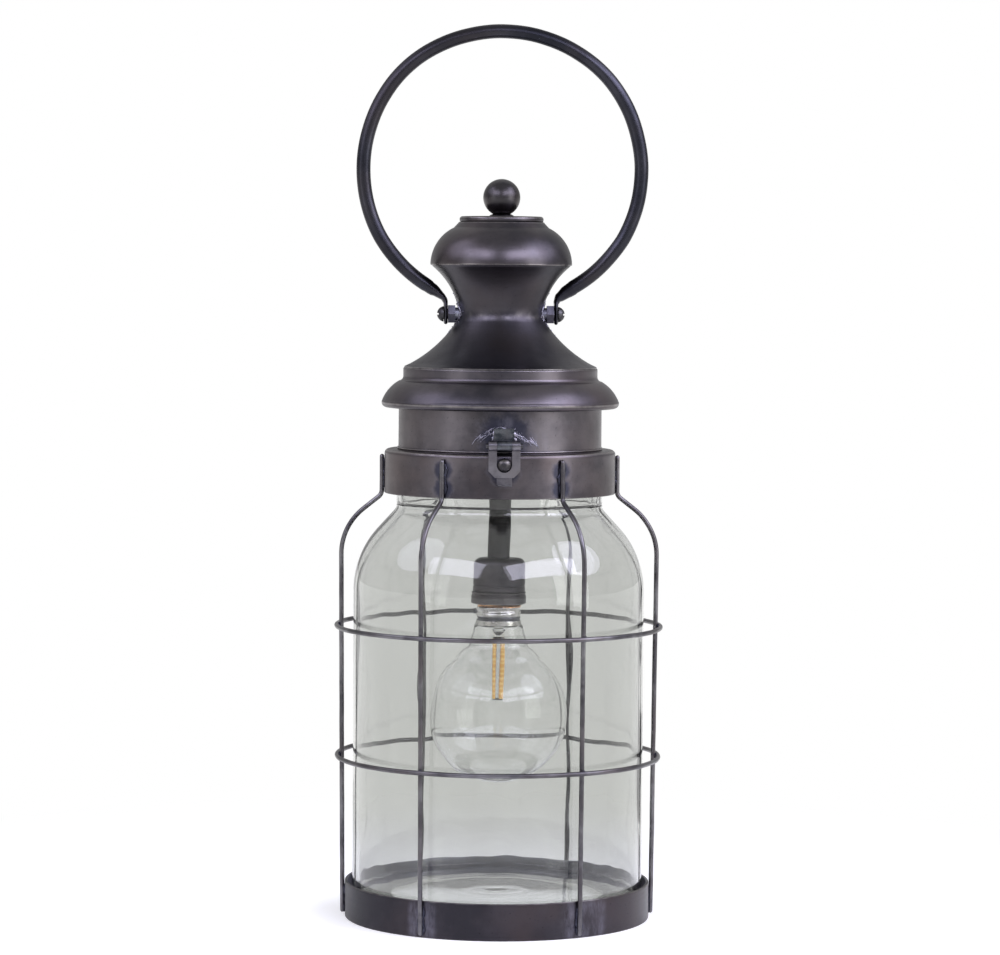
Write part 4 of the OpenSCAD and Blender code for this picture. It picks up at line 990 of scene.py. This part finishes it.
for where, turn in (("front", 0), ("rear", 180)):
    def along_crust(spread=0.8):
        """A spot on the collar near the line."""
        place = drift.uniform(0, len(crust_line) - 1.001)
        (x, z), (next_x, next_z) = crust_line[int(place)], crust_line[int(place) + 1]
        share = place - int(place)
        x = x + (next_x - x) * share + drift.gauss(0, spread)
        z = z + (next_z - z) * share + drift.gauss(0, spread)
        return x, on_collar(x), z

    strands = []
    for _ in range(26):
        x, _, z = along_crust(0.7)
        slope, bend = drift.gauss(-0.06 * x, 0.35), drift.uniform(-0.5, 0.5)
        points = [(x + t, on_collar(x + t, 0.1), z + slope * t + bend * t * t / 3)
                  for t in (-2.2, -1.1, 0.0, 1.1, 2.2)]
        strands.append(sweep(points, [0.12 + 0.2 * math.sin(math.pi * k / 4) for k in range(5)], 7))
    under = [blob((x, on_collar(x, 0.1), z), (1.5, 0.6, 1.4), 0.4, x, 6, 10) for x, z in under_lug]
    crust = together(spatter(150, along_crust, 0.16, 0.5), *strands, *under)
    make(f"lug_braze_{where}", plain(turned(crust, turn)), lilac, "hood", sharp=60)

# ---- Hasps: a slotted plate with two rolled eyes hangs from the pin and drops over the stud. It
# is heat-blued steel, and its lip is bent out for the thumb.

hasp_finish = steel("hasp_blueing", (0.125, 0.120, 0.140), (0.245, 0.235, 0.265), (0.20, 0.175, 0.185),
                    clouds=55.0, polish=0.34, ring=2.2, depth=0.7)
finish_node(hasp_finish, "hasp_front", "hasp_rear")

# ---- Bridge bar, nipple, nuts and washer: a zinc-plated bar across the collar carries the
# threaded nipple, and two nuts and a toothed washer clamp the holder's stem to it.
finish_node(zinc, "bridge_bar", "nipple_nuts", "lock_washer", "stem_nipple")

# ---- Terminal block and leads: a porcelain block screwed on the bar, with a brown live and a
# blue neutral lead down the nipple to the holder.

def glazed(name, pale, shade, rough=0.15):
    """Glazed ceramic or smooth plastic with a faint mottle."""
    made, tree, _ = new_material(name)
    mottle = cloud(tree, spot_in(tree), 500.0, 4)
    color = blend_colors(tree, ease(tree, mottle, 0.38, 0.7), (*pale, 1), (*shade, 1))
    cover(tree, color, ease(tree, mottle, 0.3, 0.7, rough, rough + 0.12), mottle, 0.08, 0.0001)
    return made


porcelain = glazed("porcelain", (0.82, 0.80, 0.74), (0.70, 0.67, 0.60))
finish_node(porcelain, "terminal_block", "holder_insert")
finish_node(glazed("lead_brown", (0.20, 0.09, 0.045), (0.14, 0.06, 0.03), 0.4), "lead_live")
finish_node(glazed("lead_blue", (0.05, 0.16, 0.42), (0.035, 0.11, 0.30), 0.4), "lead_neutral")

# ---- Lampholder: a stem tube, a turned shell with a groove, and a screwed ring, all darkened
# steel. Inside are a porcelain insert, the brass thread shell and the centre contact.

stem_finish = steel("stem_black", (0.012, 0.011, 0.012), (0.034, 0.031, 0.032), (0.032, 0.026, 0.025),
                    clouds=60.0, metal=0.0, polish=0.6, ring=1.6, depth=1.2)
holder_finish = steel("holder_patina", (0.052, 0.049, 0.058), (0.115, 0.107, 0.118), (0.110, 0.094, 0.094),
                      clouds=34.0, polish=0.44, ring=0.8)
low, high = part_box("stem_tube")
stem_low, stem_high, stem_in, stem_r = low.z / mm, high.z / mm, 5.3, 6.95
make("stem_tube_drawn",
     lathe([(stem_in, stem_low), (stem_r - 0.2, stem_low), (stem_r, stem_low + 0.2), (stem_r, stem_high - 0.2),
            (stem_r - 0.2, stem_high), (stem_in, stem_high)], 64, dent=0.5, dent_size=12, step=1.2),
     stem_finish, "hood", ["stem_tube"])
shell_z, shell_top, shell_r, dome_r, wall, hole_r = 189.0, 208.6, 15.25, 4.0, 1.4, 5.06
dome_c, groove_r = (shell_r - dome_r, shell_top - dome_r), 15.0
make("holder_shell_turned",
     lathe([(13.95, shell_z), (14.95, shell_z), (shell_r, shell_z + 0.4), (shell_r, shell_z + 3.0),
            (groove_r, shell_z + 3.3), (groove_r, shell_z + 3.9), (shell_r, shell_z + 4.2)]
           + arc(dome_c, dome_r, 0, 90, 12) + [(hole_r, shell_top), (hole_r, shell_top - wall)]
           + arc(dome_c, dome_r - wall, 90, 0, 10), 128, dent=0.06, dent_size=14, step=0.9,
           edges=[(shell_r, shell_z, 0.7)]),
     holder_finish, "hood", ["holder_shell"])
nut_r, nut_in, nut_z, nut_top, groove_r = 15.95, 13.85, 182.0, 188.97, 15.5
make("holder_ring_turned",
     lathe([(nut_in, nut_z + 1.2), (14.25, nut_z), (15.0, nut_z)]
           + arc((nut_r - 0.8, nut_z + 0.9), 0.8, -90, 0, 5)
           + [(nut_r, 186.7), (groove_r, 187.1), (groove_r, 187.8), (nut_r, 188.2), (15.9, 188.7),
              (15.4, nut_top), (nut_in, nut_top)],
           128, dent=0.05, dent_size=14, step=0.8, edges=[(15.9, 188.4, 0.7), (15.9, 182.5, 0.8)]),
     holder_finish, "hood", ["holder_ring"])
brass = plated("brass", (0.62, 0.45, 0.20), (0.42, 0.28, 0.12), 0.3)
finish_node(brass, "holder_thread", "holder_contact")

# ---- Bulb globe: a clear globe of 80 mm with 0.8 mm walls, blown with a slightly conical neck
# that is cemented into the cap.

globe_z, globe_r, globe_t, neck_turn = 118, 40, 0.8, 51.95


def globe_side(inward):
    """Line of the globe's glass, inward mm inside its outer face."""
    return (arc((0, globe_z), globe_r - inward, -90, neck_turn, 60)
            + bow((24.65, 149.5), (17.3, 157), -0.9, inward, 6)[1:]
            + [(15.6 - inward, 163.5), (14.1 - inward, 170.0)])


# A pinhole at the pole keeps the faces four-sided
pole_r, globe_foot = 0.02, globe_z - globe_r
line = [(pole_r, globe_foot)] + globe_side(0)[1:]
line += globe_side(globe_t)[:0:-1] + [(pole_r, globe_foot + globe_t)]
bulb_finish = clear_glass("bulb_glass", (0.97, 0.975, 0.97), wave=0.02, wave_scale=60.0)
make("bulb_globe_blown", plain(lathe(line, 160, step=3.0)), bulb_finish, "bulb", ["bulb_globe"],
     sharp=80)
finish_node(bulb_finish, "bulb_stem")

# ---- Bulb cap: a nickel-plated screw shell with a right-handed thread of 3.63 mm pitch, black
# glass above it, and the solder-tinned contact on top.

cap_z, cap_h, pitch, root_r, thread_h = 170.0, 18.0, 3.629, 12.4, 0.8
foot_h, roll_h, roll_r = 3.2, 2.4, 13.5


def cap_radius(turn, height):
    """Outside of the cap at an angle and a height above its foot: a rolled foot, then the thread."""
    if height < foot_h:
        return roll_r - 0.35 * height / foot_h if height < roll_h else 13.24 - (height - roll_h) * 1.05
    share = min(1.0, (height - foot_h) / 1.2) * min(1.0, max(0.0, (cap_h - 1.0 - height) / 1.2))
    return root_r + thread_h / 2 * share * (1 + math.cos(2 * math.pi * height / pitch - turn))


def cap_side(turn):
    """The cap's line at an angle, up its outside and down its bore."""
    return ([(cap_radius(turn, height), cap_z + height) for height in heights]
            + [(11.4, cap_z + cap_h), (11.4, cap_z + 3.0), (11.6, cap_z)])


around, rows = 96, 120
heights = [cap_h * k / rows for k in range(rows + 1)]
shape = turn_points(around, cap_side), wrap(around, rows + 4), {}
nickel = plated("nickel", (0.74, 0.73, 0.72), (0.42, 0.40, 0.38), 0.16, 400.0)
cap = make("bulb_cap_threaded", shape, nickel, "bulb", ["bulb_cap"], sharp=50)
# A dark band above the rolled foot is painted shade for a groove there, and copper is on the first turn in the
# holder
cap.data.materials.append(plated("cap_painted_groove_shade", (0.10, 0.10, 0.12), (0.05, 0.05, 0.06), 0.3, 400.0))
cap.data.materials.append(plated("cap_copper", (0.85, 0.45, 0.22), (0.60, 0.30, 0.14), 0.2, 400.0))
for side in cap.data.polygons:
    height = side.center.z / mm - cap_z
    side.material_index = 1 if 2.6 < height < 5.0 else 2 if 10.4 < height < 12.2 else 0
finish_node(nickel, "bulb_tip")
finish_node(glazed("vitrite", (0.02, 0.02, 0.025), (0.012, 0.012, 0.015), 0.1), "bulb_insulator")

# ---- Filaments and their frame: four amber rods stand on thin wires round the glass stem, and
# two twisted wires lead up from them to the cap.

amber, tree, _ = new_material("amber_phosphor")
made = add(tree, "ShaderNodeTexWave", wave_type="BANDS", bands_direction="Z")
for label, value in (("Vector", spot_in(tree)), ("Scale", 110.0), ("Distortion", 1.2), ("Detail", 2)):
    feed(tree, value, made.inputs[label])
beads = made.outputs["Fac"]
phosphor = blend_colors(tree, ease(tree, beads, 0.2, 0.9), (0.86, 0.45, 0.09, 1), (1.0, 0.66, 0.20, 1))
cover(tree, phosphor, 0.35, beads, 0.2)
finish_node(amber, "bulb_filaments")
wire_dark = plated("filament_wire", (0.20, 0.18, 0.17), (0.10, 0.09, 0.09), 0.35)
finish_node(wire_dark, "filament_frame")
